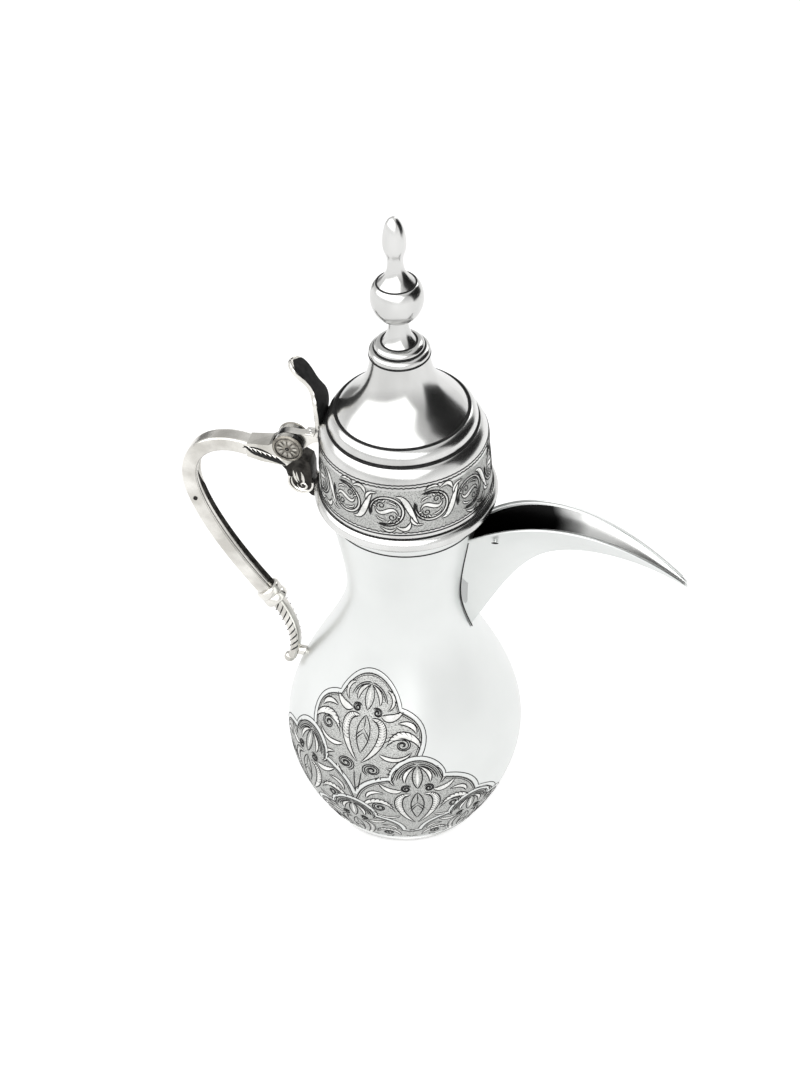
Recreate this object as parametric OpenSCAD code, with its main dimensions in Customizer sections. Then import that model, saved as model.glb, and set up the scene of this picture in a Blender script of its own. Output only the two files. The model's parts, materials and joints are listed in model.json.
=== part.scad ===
// Dallah coffee pot with a hinged lid, in millimetres.
// Z is up, +X is the spout, -X is the handle, and the origin is the centre of the base.

/* [Pot] */
// Radius of the foot where it stands
foot_r = 35; // [29:0.5:42]
// Height of the plain band round the foot
foot_h = 5.5; // [4:0.5:7]
// Radial thickness of the foot band
foot_band_t = 2.4; // [2:0.1:3]
// Thickness of the base disc
base_t = 1.5; // [1:0.1:2]
// Largest radius of the bulb
belly_r = 50.3; // [41:0.1:61]
// Height of the largest radius
belly_z = 45; // [37:0.5:54]
// Radius of the narrowest part of the neck
waist_r = 23.9; // [21:0.1:27]
// Height of the narrowest part of the neck
waist_z = 124; // [103:0.5:150]
// Height of the mouth above the narrowest part
neck_rise = 44.2; // [36:0.1:54]
// Thickness of the raised sheet
wall = 1.2; // [0.9:0.1:1.6]
// Depth of the seating ring inside the mouth
mouth_ring_h = 5; // [4:0.5:7]

/* [Lid] */
// Height of the lid's under face above the mouth when shut
lid_gap = 0.3; // [0.2:0.05:0.5]
// Angle that the lid stands open at rest
lid_ajar = 2.25; // [0:0.25:5]
// Radius of the locating flange that hangs in the mouth
flange_r = 25.6; // [23:0.1:28]
// Depth of the locating flange
flange_h = 4; // [2:0.5:5]
// Side clearance of the flange in the mouth
flange_clear = 2; // [1.8:0.1:2.6]
// Radius of the half-round wire in the bead
bead_wire_r = 3.3; // [2.5:0.1:4]
// Radius of the lid's straight band at its foot
band_r = 34.1; // [33:0.1:37]
// How far the band leans in towards its top
band_lean = 1.3; // [0:0.1:2]
// Height of the straight band
band_h = 24.5; // [20:0.5:30]
// Thickness of the lid's sheet
lid_t = 0.9; // [0.8:0.1:1.2]
// Height of the rounded shoulder
shoulder_h = 8.2; // [7:0.1:10]
// Radius of the plain ring at its foot
ring_r = 28.7; // [27:0.1:30]
// Height of the plain ring
ring_h = 6.2; // [5:0.1:8]
// Radius of the dome at its foot
dome_r = 25.4; // [23:0.1:26.5]
// Height of the bell-shaped dome
dome_h = 25.6; // [21:0.1:31]
// Radius of the dome's top
collar_r = 11.2; // [9.5:0.1:13]

/* [Finial] */
// Height of the stepped rings
rings_h = 5.6; // [4.5:0.1:7]
// Height of the trumpet-shaped stem
stem_h = 10.4; // [8.5:0.1:12.5]
// Radius of the stem's foot
stem_foot_r = 6.8; // [5.5:0.1:8]
// Radius of the stem's neck
stem_neck_r = 3.9; // [3:0.1:4.5]
// Largest radius of the ball
ball_r = 10; // [8:0.1:12]
// Height of the ball
ball_h = 15.6; // [13:0.1:19]
// Radius of the spire's flared foot
spire_foot_r = 7.3; // [6:0.1:8]
// Radius of the spire's waist
spire_waist_r = 3; // [2.5:0.1:3.6]
// Largest radius of the pear at the top
pear_r = 4.45; // [3.7:0.05:5.4]
// Height of the spire
spire_h = 28; // [23:0.5:34]
// Radius of the threaded rod inside
rod_r = 1.5; // [1.2:0.1:1.8]

/* [Spout] */
// Height of the keel's root below the waist
spout_root_drop = 20.1; // [17:0.1:24]
// Height of the rim's root below the mouth
spout_rim_drop = 10.2; // [8:0.1:12]
// Distance of the tip from the pot's axis
spout_reach = 114.1; // [95:0.5:137]
// Height of the tip below the mouth
spout_tip_drop = 20.9; // [17:0.1:25]
// Half width of the spout where it is widest
spout_half_w = 9.4; // [8:0.1:11.3]
// Thickness of the spout's sheet
spout_t = 1.2; // [0.9:0.1:1.4]
// Radius of the strainer holes in the neck
strainer_r = 1.3; // [1:0.1:1.4]

/* [Hinge] */
// Distance of the hinge pin behind the lid's bead
hinge_gap = 10.3; // [9.3:0.1:11.5]
// Height of the hinge pin above the mouth
hinge_rise = 18.8; // [17.5:0.1:21]
// Radius of the hinge pin
pin_r = 1.6; // [1.3:0.05:1.95]
// Radial clearance of the pin in the lid's knuckle
pin_clear = 0.05; // [0.02:0.01:0.1]
// Radius of the knuckles
knuckle_r = 6; // [5:0.1:7]
// Width of the lid's knuckle
knuckle_w = 3.4; // [2.8:0.1:4]
// Side clearance of the lid's knuckle
knuckle_clear = 0.25; // [0.2:0.05:0.4]
// Thickness of each cheek of the fork
cheek_t = 2; // [1.6:0.1:2.4]
// Thickness of the rosettes on the pin's ends
rosette_t = 1; // [0.8:0.1:1.4]

/* [Handle] */
// Distance of the handle's far side from the pot's axis
handle_reach = 89; // [80:0.5:107]
// Thickness of the grip, seen from the side
grip_t = 6.6; // [5.5:0.1:8]
// Width of the grip across the pot
grip_w = 7; // [6:0.1:8.4]
// Height of the handle's lower joint
lug_z = 71; // [62:0.5:85]
// Radius of the lug between the tail and the bulb
lug_r = 2.2; // [1.8:0.1:2.6]
// Radius of the small ball at the tail's end
tail_ball_r = 2.4; // [2:0.1:2.9]
// Radius of the ferrule
ferrule_r = 5.4; // [5.2:0.1:6.5]
// Length of the ferrule
ferrule_h = 8; // [6.5:0.5:10]

/* [Thumb piece] */
// Half width of the lower lobe
lobe_r = 7.5; // [6.2:0.1:9]
// Half width of the upper lobe
tip_r = 5.1; // [4.2:0.1:6.2]
// Thickness of the thumb piece
thumb_t = 2; // [1.6:0.1:2.4]

/* [Hidden] */
$fn = 64;

silver = [0.90, 0.90, 0.88];
warm_silver = [0.80, 0.78, 0.72];
dark_silver = [0.25, 0.24, 0.22];
brass = [0.72, 0.58, 0.32];

// Steps in each stretch of a curve
steps = 8;
mouth_z = waist_z + neck_rise;
mouth_bore_r = flange_r + flange_clear;
// The neck's sheet meets the seating ring at the mouth
mouth_r = mouth_bore_r + wall + 2.1;
lid_z = mouth_z + lid_gap;
bead_r = mouth_r + 1.8 + bead_wire_r;
bead_ring_r = bead_r - bead_wire_r;
band_z = lid_z + 5;
shoulder_z = band_z + band_h;
ring_z = shoulder_z + shoulder_h;
dome_z = ring_z + ring_h;
collar_z = dome_z + dome_h;
stem_z = collar_z + rings_h;
ball_z = stem_z + stem_h;
spire_z = ball_z + ball_h;
tip_z = spire_z + spire_h;
band_top_r = band_r - band_lean;
hinge_x = -(bead_r + hinge_gap);
hinge_z = mouth_z + hinge_rise;
fork_w = knuckle_w + 2 * (knuckle_clear + cheek_t);
// Half the width that stays free for the lid's knuckle
slot_half = knuckle_w / 2 + knuckle_clear;

// A cubic curve through a and d, and n equal steps along one
function bezier(a, b, c, d, t) =
  a * pow(1 - t, 3) + 3 * b * t * pow(1 - t, 2) + 3 * c * t * t * (1 - t) + d * pow(t, 3);
function curve(a, b, c, d, n = steps) = [for (i = [0:n]) bezier(a, b, c, d, i / n)];
function tail_of(list) = [for (i = [1:len(list) - 1]) list[i]];
function backwards(list) = [for (i = [len(list) - 1:-1:0]) list[i]];
function shifted(list, by) = [for (p = list) p + by];

// The pot's outline as [radius, height], from the foot to the belly, the waist and the mouth
belly_rise = waist_z - belly_z;
lower_outline = curve([foot_r, 0], [foot_r + 6, 0.25 * belly_z],
  [belly_r, 0.6 * belly_z], [belly_r, belly_z]);
upper_outline = curve([belly_r, belly_z], [belly_r, belly_z + 0.36 * belly_rise],
  [waist_r, waist_z - 0.31 * belly_rise], [waist_r, waist_z], 12);
neck_outline = curve([waist_r, waist_z], [waist_r, waist_z + 0.27 * neck_rise],
  [mouth_r - 2.6, mouth_z - 0.32 * neck_rise], [mouth_r, mouth_z]);
outline = concat(lower_outline, tail_of(upper_outline), tail_of(neck_outline));
outline_by_z = [for (p = outline) [p[1], p[0]]];
function pot_r(z) = lookup(z, outline_by_z);
function outline_between(z1, z2) = [for (p = outline) if (p[1] > z1 && p[1] < z2) p];

// A closed strip of the given widths along a path
function along(path, i) =
  let (a = path[max(i - 1, 0)], b = path[min(i + 1, len(path) - 1)]) (b - a) / norm(b - a);
function strip(path, w1, w2) =
  let (n = len(path) - 1,
    side = [for (i = [0:n]) let (d = along(path, i)) [-d[1], d[0]] * (w1 + (w2 - w1) * i / n) / 2])
  concat([for (i = [0:n]) path[i] + side[i]], [for (i = [n:-1:0]) path[i] - side[i]]);

// Extrudes a shape drawn in X and Z by w, half to each side of the pot
module across(w) {
  for (i = [0:$children - 1])
    rotate([90, 0, 0]) linear_extrude(height = w, center = true) children(i);
}

// Turns what is drawn for the shut lid to its place at rest
module on_lid() {
  translate([hinge_x, 0, hinge_z]) rotate([0, -lid_ajar, 0]) translate([-hinge_x, 0, -hinge_z])
    children();
}

// The whole pot without its hollow, grown by a gap
module pot_solid(gap = 0) {
  rotate_extrude() polygon(concat([[0, 0]], shifted(outline, [gap, 0]), [[0, mouth_z]]));
}

// ---- pot

module pot_body() {
  skin = concat([[pot_r(foot_h), foot_h]], outline_between(foot_h, mouth_z), [[mouth_r, mouth_z]]);
  color(silver) difference() {
    rotate_extrude() polygon(concat(skin, backwards(shifted(skin, [-wall, 0]))));
    strainer_holes();
  }
}

// Rows of holes that widen with the spout towards its rim
module strainer_holes() {
  pitch = 2.5 * strainer_r;
  for (row = [0:3]) {
    holes = [1, 1, 2, 3][row];
    for (i = [0:holes - 1])
      translate([0, (i - (holes - 1) / 2) * pitch, mouth_z - 18 - 2 * pitch * (3 - row)])
        rotate([0, 90, 0]) cylinder(r = strainer_r, h = mouth_r);
  }
}

module foot_band() {
  inner = foot_r - foot_band_t;
  color(silver) rotate_extrude()
    polygon(concat([[inner, 0], [foot_r, 0]], outline_between(0, foot_h),
      [[pot_r(foot_h), foot_h], [inner, foot_h]]));
}

module base_disc() {
  color(silver) cylinder(r = foot_r - foot_band_t, h = base_t);
}

module mouth_ring() {
  low = mouth_z - mouth_ring_h;
  seat = concat([[pot_r(low), low]], outline_between(low, mouth_z), [[mouth_r, mouth_z]]);
  color(silver) rotate_extrude()
    polygon(concat([[mouth_bore_r, low]], shifted(seat, [-wall, 0]), [[mouth_bore_r, mouth_z]]));
}

// ---- spout: an open crescent beak, lofted from its joint on the neck to its tip

spout_rows = 24;
spout_cols = 8;
keel_root = [pot_r(waist_z - spout_root_drop), waist_z - spout_root_drop];
rim_root = [pot_r(mouth_z - spout_rim_drop), mouth_z - spout_rim_drop];
tip = [spout_reach, mouth_z - spout_tip_drop];
bend = [0.32 * spout_reach + 0.68 * keel_root[0], mouth_z - 16.8];
root_half_w = 0.79 * spout_half_w;

function keel_at(t) =
  let (s = 2 * pow(t, 0.9))
  s < 1
    ? bezier(keel_root, keel_root + [7, 15], bend - [12, 8.5], bend, s)
    : bezier(bend, bend + [13, 9.4], tip + [-20, 11], tip, s - 1);
function rim_at(t) =
  bezier(rim_root, rim_root + [14, 15], [0.5 * (rim_root[0] + tip[0]) + 1, mouth_z + 14.4],
    tip + [-0.9, 2.5], t);
function half_w_at(t) =
  bezier(root_half_w, 1.22 * spout_half_w, 0.78 * spout_half_w, spout_t + 0.4, t);

// Foot of the V under a rim point, on the outer face or the inner one
function vee_foot(keel, rim, inside) =
  inside ? keel + (rim - keel) * (spout_t / norm(rim - keel) + 0.06) : keel;

// One point of the sheet: t runs from neck to tip, u from one rim over the keel to the other
function spout_point(t, u, inside) =
  let (
    a = abs(u),
    inset = inside ? spout_t : 0,
    spread = sign(u) * pow(a, 1.25),
    foot = vee_foot(keel_at(t), rim_at(t), inside),
    p = foot + (rim_at(t) - foot) * a,
    root_foot = vee_foot(keel_root, rim_root, inside),
    root = root_foot + (rim_root - root_foot) * a,
    neck_x = sqrt(pow(pot_r(root[1]) + 0.05, 2) - pow(spread * (root_half_w - inset), 2))
  ) [p[0] + (neck_x - root[0]) * pow(1 - t, 5), spread * (half_w_at(t) - inset), p[1]];

module spout() {
  loop = 4 * spout_cols + 2;
  side = 2 * spout_cols;
  points = [for (i = [0:spout_rows]) for (j = [0:loop - 1])
    j <= side
      ? spout_point(i / spout_rows, j / spout_cols - 1, false)
      : spout_point(i / spout_rows, 1 - (j - side - 1) / spout_cols, true)];
  function at(i, j) = i * loop + j % loop;
  skin = [for (i = [0:spout_rows - 1]) for (j = [0:loop - 1])
    each [[at(i, j), at(i + 1, j), at(i + 1, j + 1)], [at(i, j), at(i + 1, j + 1), at(i, j + 1)]]];
  ends = [for (j = [0:side - 1])
    each [
      [at(0, j), at(0, j + 1), at(0, loop - 2 - j)],
      [at(0, j), at(0, loop - 2 - j), at(0, loop - 1 - j)],
      [at(spout_rows, j), at(spout_rows, loop - 2 - j), at(spout_rows, j + 1)],
      [at(spout_rows, j), at(spout_rows, loop - 1 - j), at(spout_rows, loop - 2 - j)]
    ]];
  color(silver) polyhedron(points, concat(skin, ends), convexity = 6);
}

module spout_rivets() {
  t = 0.2;
  u = 0.86;
  out = spout_point(t, u, false);
  color(dark_silver) for (side = [-1, 1])
    translate([out[0], side * (out[1] + 0.1), out[2]]) rotate([90, 0, 0]) {
      cylinder(r = 0.6, h = 2 * spout_t, center = true);
      translate([0, 0, -side * 0.25]) cylinder(r = 1.1, h = 0.5, center = true);
    }
}

// ---- handle

grip_top = [hinge_x - 17.2, hinge_z - 5.2];
shoulder_point = [-handle_reach, hinge_z - 25];
ferrule_point = [-pot_r(lug_z) - 13.4, lug_z + 31];
bar_dir = [0.63, -0.777];
tail_end = [-pot_r(lug_z) - 5.5, lug_z - 3.6];
grip_path = concat(
  curve(grip_top, grip_top + [-12.5, 2.8], shoulder_point + [0, 16.5], shoulder_point, 10),
  tail_of(curve(shoulder_point, shoulder_point - [0, 12], ferrule_point - bar_dir * 32,
    ferrule_point, 12)));
tail_path = curve(ferrule_point, ferrule_point + bar_dir * 10, [-pot_r(lug_z) - 0.9, lug_z + 9.5],
  tail_end, 10);
tail_ball_at = tail_end + [-0.66, -0.75] * tail_ball_r;
tail_w = grip_w - 1;
cross_pin_r = 0.9;

module grip_shape() {
  polygon(strip(grip_path, grip_t, grip_t - 0.6));
}

module tail_shape() {
  polygon(strip(tail_path, grip_t - 1, 3.6));
}

module handle_grip() {
  color(warm_silver) difference() {
    across(grip_w) grip_shape();
    cross_pin_at() cylinder(r = cross_pin_r, h = grip_w + 2, center = true);
  }
}

// The pin that crosses the grip below its bend
module cross_pin_at() {
  p = grip_path[13];
  translate([p[0], 0, p[1]]) rotate([90, 0, 0]) children();
}

module handle_cross_pin() {
  color(dark_silver) cross_pin_at() cylinder(r = cross_pin_r, h = grip_w + 0.6, center = true);
}

module handle_ferrule() {
  color(warm_silver) difference() {
    translate([ferrule_point[0], 0, ferrule_point[1]])
      rotate([0, atan2(bar_dir[0], bar_dir[1]), 0])
        cylinder(r = ferrule_r, h = ferrule_h, center = true);
    across(grip_w) grip_shape();
    across(tail_w) tail_shape();
  }
}

module handle_tail() {
  color(warm_silver) difference() {
    across(tail_w) tail_shape();
    across(grip_w) grip_shape();
    handle_ball();
  }
}

module handle_ball() {
  color(warm_silver) translate([tail_ball_at[0], 0, tail_ball_at[1]]) sphere(r = tail_ball_r);
}

module handle_lug() {
  color(warm_silver) difference() {
    translate([-pot_r(lug_z) - 4, 0, lug_z]) rotate([0, 90, 0]) cylinder(r = lug_r, h = 8);
    pot_solid();
    across(tail_w) tail_shape();
  }
}

// ---- hinge

module hinge_axis() {
  translate([hinge_x, 0, hinge_z]) rotate([90, 0, 0]) children();
}

// Lower edge of the fork, seen from the side
fork_edge = [[hinge_x - 11, hinge_z - 9.4], [hinge_x - 1, hinge_z - 9.6], [hinge_x + 4, hinge_z - 4.2]];

// Cast end of the handle: a chased leaf that splits into two cheeks round the barrel
module hinge_fork() {
  slot_end = hinge_x - knuckle_r - 1;
  color(warm_silver) difference() {
    intersection() {
      across(fork_w) {
        translate([hinge_x, hinge_z]) circle(r = knuckle_r);
        polygon(concat([[hinge_x + 1, hinge_z + 3], [hinge_x - knuckle_r + 0.6, hinge_z + 1.5],
          [hinge_x - 8, hinge_z - 0.6], grip_top + [0, grip_t / 2], grip_top - [0, grip_t / 2]],
          fork_edge));
      }
      linear_extrude(height = 2 * hinge_z)
        polygon([[hinge_x + 2 * knuckle_r, -fork_w], [hinge_x + 2 * knuckle_r, fork_w],
          [slot_end + 1, fork_w / 2], [grip_top[0], grip_w / 2 + 0.5],
          [grip_top[0], -grip_w / 2 - 0.5], [slot_end + 1, -fork_w / 2]]);
    }
    translate([slot_end, -slot_half, hinge_z - 2 * knuckle_r])
      cube([4 * knuckle_r, 2 * slot_half, 4 * knuckle_r]);
    hinge_axis() cylinder(r = pin_r, h = fork_w + 2, center = true);
    across(grip_w) grip_shape();
  }
}

// Curled leaf under the barrel that joins it to the neck, below the lid's bead
module scroll_bracket() {
  scroll_r = 5;
  scroll = [hinge_x + 4.6, mouth_z + 1.7];
  edge_x = -bead_r - 1.1;
  bracket_w = 2 * slot_half + 3.4;
  color(dark_silver) difference() {
    across(bracket_w) {
      translate(scroll) circle(r = scroll_r);
      polygon([[hinge_x - 3.6, hinge_z - 9], [hinge_x - 3.6, hinge_z - 4], [hinge_x + 4.6, hinge_z - 4],
        [edge_x - 0.8, hinge_z - 6], [edge_x, hinge_z - 9.5], [edge_x, scroll[1]], scroll,
        scroll + [-4.8, 1.5], [hinge_x - 1.2, hinge_z - 11.8]]);
      polygon([scroll, [edge_x, scroll[1]], [edge_x, mouth_z + 0.4], [edge_x + 1, mouth_z - 0.9],
        [-waist_r, mouth_z - 0.9], [-waist_r, mouth_z - 4.8], [edge_x, mouth_z - 4],
        [scroll[0] + 1, mouth_z - 1.2]]);
    }
    pot_solid();
    across(fork_w) polygon(concat(fork_edge, [[hinge_x + 4, hinge_z], [hinge_x - 11, hinge_z]]));
    hinge_axis() cylinder(r = knuckle_r, h = fork_w, center = true);
    hinge_axis() cylinder(r = knuckle_r + 0.5, h = 2 * slot_half, center = true);
  }
}

module hinge_pin() {
  color(brass) hinge_axis() cylinder(r = pin_r, h = fork_w, center = true);
}

// Round cap on one end of the pin
module rosette(side) {
  color(dark_silver) translate([hinge_x, side * fork_w / 2, hinge_z]) rotate([-side * 90, 0, 0])
    rotate_extrude() polygon([[0, 0], [knuckle_r + 0.2, 0], [knuckle_r + 0.2, 0.5 * rosette_t],
      [knuckle_r - 0.6, rosette_t], [1.2, rosette_t], [0, rosette_t + 0.4]]);
}

// ---- lid: every piece is drawn shut, and on_lid turns it to rest

// Outer curves of the sheet pieces, as [radius, height]
shoulder_curve = curve([band_top_r, shoulder_z], [band_top_r - 0.2, shoulder_z + 0.55 * shoulder_h],
  [ring_r + 2.1, ring_z - 0.7], [ring_r, ring_z]);
ring_curve = curve([ring_r, ring_z], [ring_r + 0.6, ring_z + 0.5 * ring_h],
  [dome_r + 2.4, dome_z - 0.6], [dome_r, dome_z]);
dome_curve = curve([dome_r, dome_z], [dome_r - 4.6, dome_z + 0.26 * dome_h],
  [collar_r + 1, dome_z + 0.36 * dome_h], [collar_r, collar_z], 12);
inwards = [-lid_t, -0.75 * lid_t];
// Under face of the plate that closes the dome
plate_z = collar_z - 1.2;

module sheet_ring(outer) {
  on_lid() rotate_extrude() polygon(concat(outer, backwards(shifted(outer, inwards))));
}

// The lid's outside from the bead to the dome, filled, to cut what is fixed to it
module lid_solid() {
  on_lid() {
    rotate_extrude() polygon(concat([[0, lid_z], [band_r, lid_z], [band_r, band_z]], shoulder_curve,
      tail_of(ring_curve), tail_of(dome_curve), [[0, collar_z]]));
    rotate_extrude() translate([bead_ring_r, lid_z + bead_wire_r]) circle(r = bead_wire_r);
  }
}

band_section = [[band_r - lid_t, band_z], [band_r, band_z], [band_top_r, shoulder_z],
  [band_top_r, shoulder_z] + inwards];
flange_out_r = bead_ring_r - 1.7;

module lid_bead() {
  color(silver) on_lid() rotate_extrude() difference() {
    translate([bead_ring_r, lid_z + bead_wire_r]) circle(r = bead_wire_r);
    translate([flange_out_r - 2 * bead_wire_r, lid_z - 1])
      square([2 * bead_wire_r, 2 * bead_wire_r + 2]);
    polygon(band_section);
  }
}

module lid_band() {
  color(silver) on_lid() rotate_extrude() polygon(band_section);
}

module lid_shoulder() {
  color(silver) sheet_ring(shoulder_curve);
}

module lid_ring() {
  color(silver) sheet_ring(ring_curve);
}

// The bell, closed at its top by a plate for the finial's rod
module lid_dome() {
  inner = [for (p = shifted(dome_curve, inwards)) if (p[1] < plate_z) p];
  color(silver) on_lid() rotate_extrude()
    polygon(concat(dome_curve, [[rod_r, collar_z], [rod_r, plate_z], [collar_r - lid_t, plate_z]],
      backwards(inner)));
}

module lid_flange() {
  color(silver) on_lid() rotate_extrude()
    polygon([[flange_r - 1, lid_z - flange_h], [flange_r, lid_z - flange_h], [flange_r, lid_z],
      [flange_out_r, lid_z + 1.4], [flange_out_r, lid_z + 2.4], [flange_r - 1, lid_z + 1]]);
}

// ---- finial: turned pieces threaded on one rod

module turned(outer) {
  on_lid() rotate_extrude()
    polygon(concat([[rod_r, outer[0][1]]], outer, [[rod_r, outer[len(outer) - 1][1]]]));
}

module finial_base() {
  step_r = stem_foot_r + 2.7;
  color(silver) turned(concat(
    curve([collar_r, collar_z], [collar_r + 0.8, collar_z + 1], [collar_r + 0.4, collar_z + 3],
      [step_r + 0.1, collar_z + 0.54 * rings_h], 6),
    curve([step_r, collar_z + 0.6 * rings_h], [step_r + 0.2, collar_z + 0.8 * rings_h],
      [step_r - 0.8, stem_z], [stem_foot_r, stem_z], 6)));
}

module finial_stem() {
  color(silver) turned(curve([stem_foot_r - 0.2, stem_z], [stem_neck_r + 0.6, stem_z + 2.6],
    [stem_neck_r - 0.4, stem_z + 6], [stem_neck_r, ball_z], 10));
}

module finial_ball() {
  waist = ball_z + 0.58 * ball_h;
  color(silver) turned(concat(
    curve([stem_neck_r + 0.4, ball_z], [0.72 * ball_r, ball_z + 0.03 * ball_h],
      [ball_r, ball_z + 0.3 * ball_h], [ball_r, waist], 10),
    tail_of(curve([ball_r, waist], [ball_r, waist + 0.24 * ball_h],
      [spire_foot_r + 1.4, spire_z - 0.3], [spire_foot_r + 0.1, spire_z], 8))));
}

module finial_spire() {
  waist = spire_z + 0.32 * spire_h;
  pear = spire_z + 0.6 * spire_h;
  outer = concat(
    curve([spire_foot_r, spire_z], [spire_foot_r - 2.6, spire_z + 0.09 * spire_h],
      [spire_waist_r, spire_z + 0.17 * spire_h], [spire_waist_r, waist]),
    tail_of(curve([spire_waist_r, waist], [spire_waist_r, waist + 0.13 * spire_h],
      [pear_r, pear - 0.12 * spire_h], [pear_r, pear])),
    tail_of(curve([pear_r, pear], [pear_r, pear + 0.24 * spire_h], [0.5 * pear_r, tip_z], [0, tip_z])));
  color(silver) on_lid() rotate_extrude()
    polygon(concat([[0, blind_z], [rod_r, blind_z], [rod_r, spire_z]], outer));
}

nut_h = 2.6;
washer_t = 1;
blind_z = spire_z + 0.2 * spire_h;

module finial_rod() {
  low = plate_z - washer_t - nut_h - 1.5;
  color(brass) on_lid() translate([0, 0, low])
    cylinder(r = rod_r, h = blind_z - low);
}

module finial_washer() {
  color(brass) on_lid() rotate_extrude()
    translate([rod_r, plate_z - washer_t]) square([3.8, washer_t]);
}

module finial_nut() {
  color(brass) on_lid() translate([0, 0, plate_z - washer_t - nut_h]) difference() {
    cylinder(r = 3.6, h = nut_h, $fn = 6);
    translate([0, 0, -1]) cylinder(r = rod_r, h = nut_h + 2);
  }
}

// ---- lid arm and thumb piece

arm_top = hinge_z + 6.2;
thumb_foot = [-band_top_r - 2.2, arm_top];
thumb_tab_t = 0.8;

// Strap with the lid's knuckle at one end, soldered to the band at the other
module lid_arm() {
  end_x = -band_top_r + 1;
  color(warm_silver) difference() {
    on_lid() difference() {
      across(knuckle_w) {
        translate([hinge_x, hinge_z]) circle(r = knuckle_r);
        polygon([[hinge_x, hinge_z + knuckle_r], [hinge_x + 4, hinge_z + 0.96 * knuckle_r],
          [hinge_x + 7, arm_top], [end_x, arm_top], [end_x, arm_top - 2.4],
          [hinge_x + 10, arm_top - 3.8], [hinge_x + 6, hinge_z - 1], [hinge_x, hinge_z]]);
      }
      hinge_axis() cylinder(r = pin_r + pin_clear, h = fork_w, center = true);
      thumb_rivet_shanks();
    }
    lid_solid();
  }
}

module thumb_rivet_places() {
  translate([thumb_foot[0] - 2.9, 0.8, arm_top]) children();
  translate([thumb_foot[0] - 2, -0.8, arm_top]) children();
}

module thumb_rivet_shanks() {
  thumb_rivet_places() translate([0, 0, -1.8]) cylinder(r = 0.4, h = 1.8 + thumb_tab_t);
}

// Two rivets with bead heads, through the thumb piece's foot into the arm
module thumb_rivets() {
  color(silver) on_lid() {
    thumb_rivet_shanks();
    difference() {
      thumb_rivet_places() sphere(r = 1.15, $fn = 32);
      translate([hinge_x, -knuckle_w, arm_top - 3])
        cube([3 * knuckle_r, 2 * knuckle_w, 3 + thumb_tab_t]);
    }
  }
}

thumb_path = curve(thumb_foot, thumb_foot + [5.5, 14.5], thumb_foot + [2.2, 26],
  thumb_foot + [-8.6, 34.4], 14);

// Palmette lever: a curved strip cut to a lobed outline, on a riveted foot
module thumb_piece() {
  color(dark_silver) difference() {
    on_lid() {
      intersection() {
        across(2 * lobe_r) polygon(strip(thumb_path, thumb_t, thumb_t));
        translate([hinge_x, 0, 0]) {
          along_x() translate([0, thumb_foot[1] + 14]) circle(r = lobe_r);
          along_x() translate([0, thumb_foot[1] + 30.5]) circle(r = tip_r);
          along_x() translate([-3.6, thumb_foot[1] - 1]) square([7.2, 31]);
        }
      }
      difference() {
        translate([thumb_foot[0] - 4.4, -2.4, arm_top]) cube([4.6, 4.8, thumb_tab_t]);
        thumb_rivet_shanks();
      }
    }
    lid_solid();
    on_lid() translate([hinge_x, -knuckle_w, arm_top - 5]) cube([3 * knuckle_r, 2 * knuckle_w, 5]);
  }
}

// Extrudes a shape drawn in Y and Z along X
module along_x() {
  rotate([90, 0, 90]) linear_extrude(height = 40) children();
}

pot_body();
foot_band();
base_disc();
mouth_ring();
spout();
spout_rivets();
handle_grip();
handle_cross_pin();
handle_ferrule();
handle_tail();
handle_ball();
handle_lug();
hinge_fork();
scroll_bracket();
hinge_pin();
rosette(1);  // rosette_left
rosette(-1);  // rosette_right
lid_bead();
lid_band();
lid_shoulder();
lid_ring();
lid_dome();
lid_flange();
finial_base();
finial_stem();
finial_ball();
finial_spire();
finial_rod();
finial_washer();
finial_nut();
lid_arm();
thumb_rivets();
thumb_piece();
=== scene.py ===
import bpy
import itertools
import json
import math
from mathutils import Matrix, Vector


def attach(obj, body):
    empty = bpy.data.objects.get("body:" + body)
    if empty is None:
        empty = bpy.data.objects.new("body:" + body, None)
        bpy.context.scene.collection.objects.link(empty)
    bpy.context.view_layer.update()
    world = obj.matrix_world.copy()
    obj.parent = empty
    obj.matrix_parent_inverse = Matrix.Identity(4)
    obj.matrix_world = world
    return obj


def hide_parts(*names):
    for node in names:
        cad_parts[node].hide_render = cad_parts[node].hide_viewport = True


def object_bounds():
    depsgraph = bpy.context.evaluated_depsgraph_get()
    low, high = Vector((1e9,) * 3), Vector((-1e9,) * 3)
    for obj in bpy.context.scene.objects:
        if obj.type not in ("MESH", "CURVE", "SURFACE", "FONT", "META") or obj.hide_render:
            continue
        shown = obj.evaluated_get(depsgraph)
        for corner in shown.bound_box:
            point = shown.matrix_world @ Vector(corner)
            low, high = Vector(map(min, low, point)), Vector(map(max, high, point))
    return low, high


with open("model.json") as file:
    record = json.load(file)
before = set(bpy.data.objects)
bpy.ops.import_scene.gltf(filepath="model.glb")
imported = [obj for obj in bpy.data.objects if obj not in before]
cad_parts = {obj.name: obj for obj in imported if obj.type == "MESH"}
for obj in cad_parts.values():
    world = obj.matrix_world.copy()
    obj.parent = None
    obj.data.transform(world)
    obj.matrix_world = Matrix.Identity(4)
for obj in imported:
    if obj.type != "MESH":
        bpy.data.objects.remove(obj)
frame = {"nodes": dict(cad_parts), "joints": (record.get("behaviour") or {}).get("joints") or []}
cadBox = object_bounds()
print("frame loaded:", len(frame["nodes"]), "nodes")

mm = 0.001
hinge = [v / mm for v in frame["joints"][0]["pos_m"]]
lidAjar = -frame["joints"][0]["range_deg"][0]
shutToRest = (Matrix.Translation((hinge[0] * mm, 0, hinge[2] * mm))
              @ Matrix.Rotation(math.radians(-lidAjar), 4, "Y")
              @ Matrix.Translation((-hinge[0] * mm, 0, -hinge[2] * mm)))


# ---- small helpers

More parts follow.
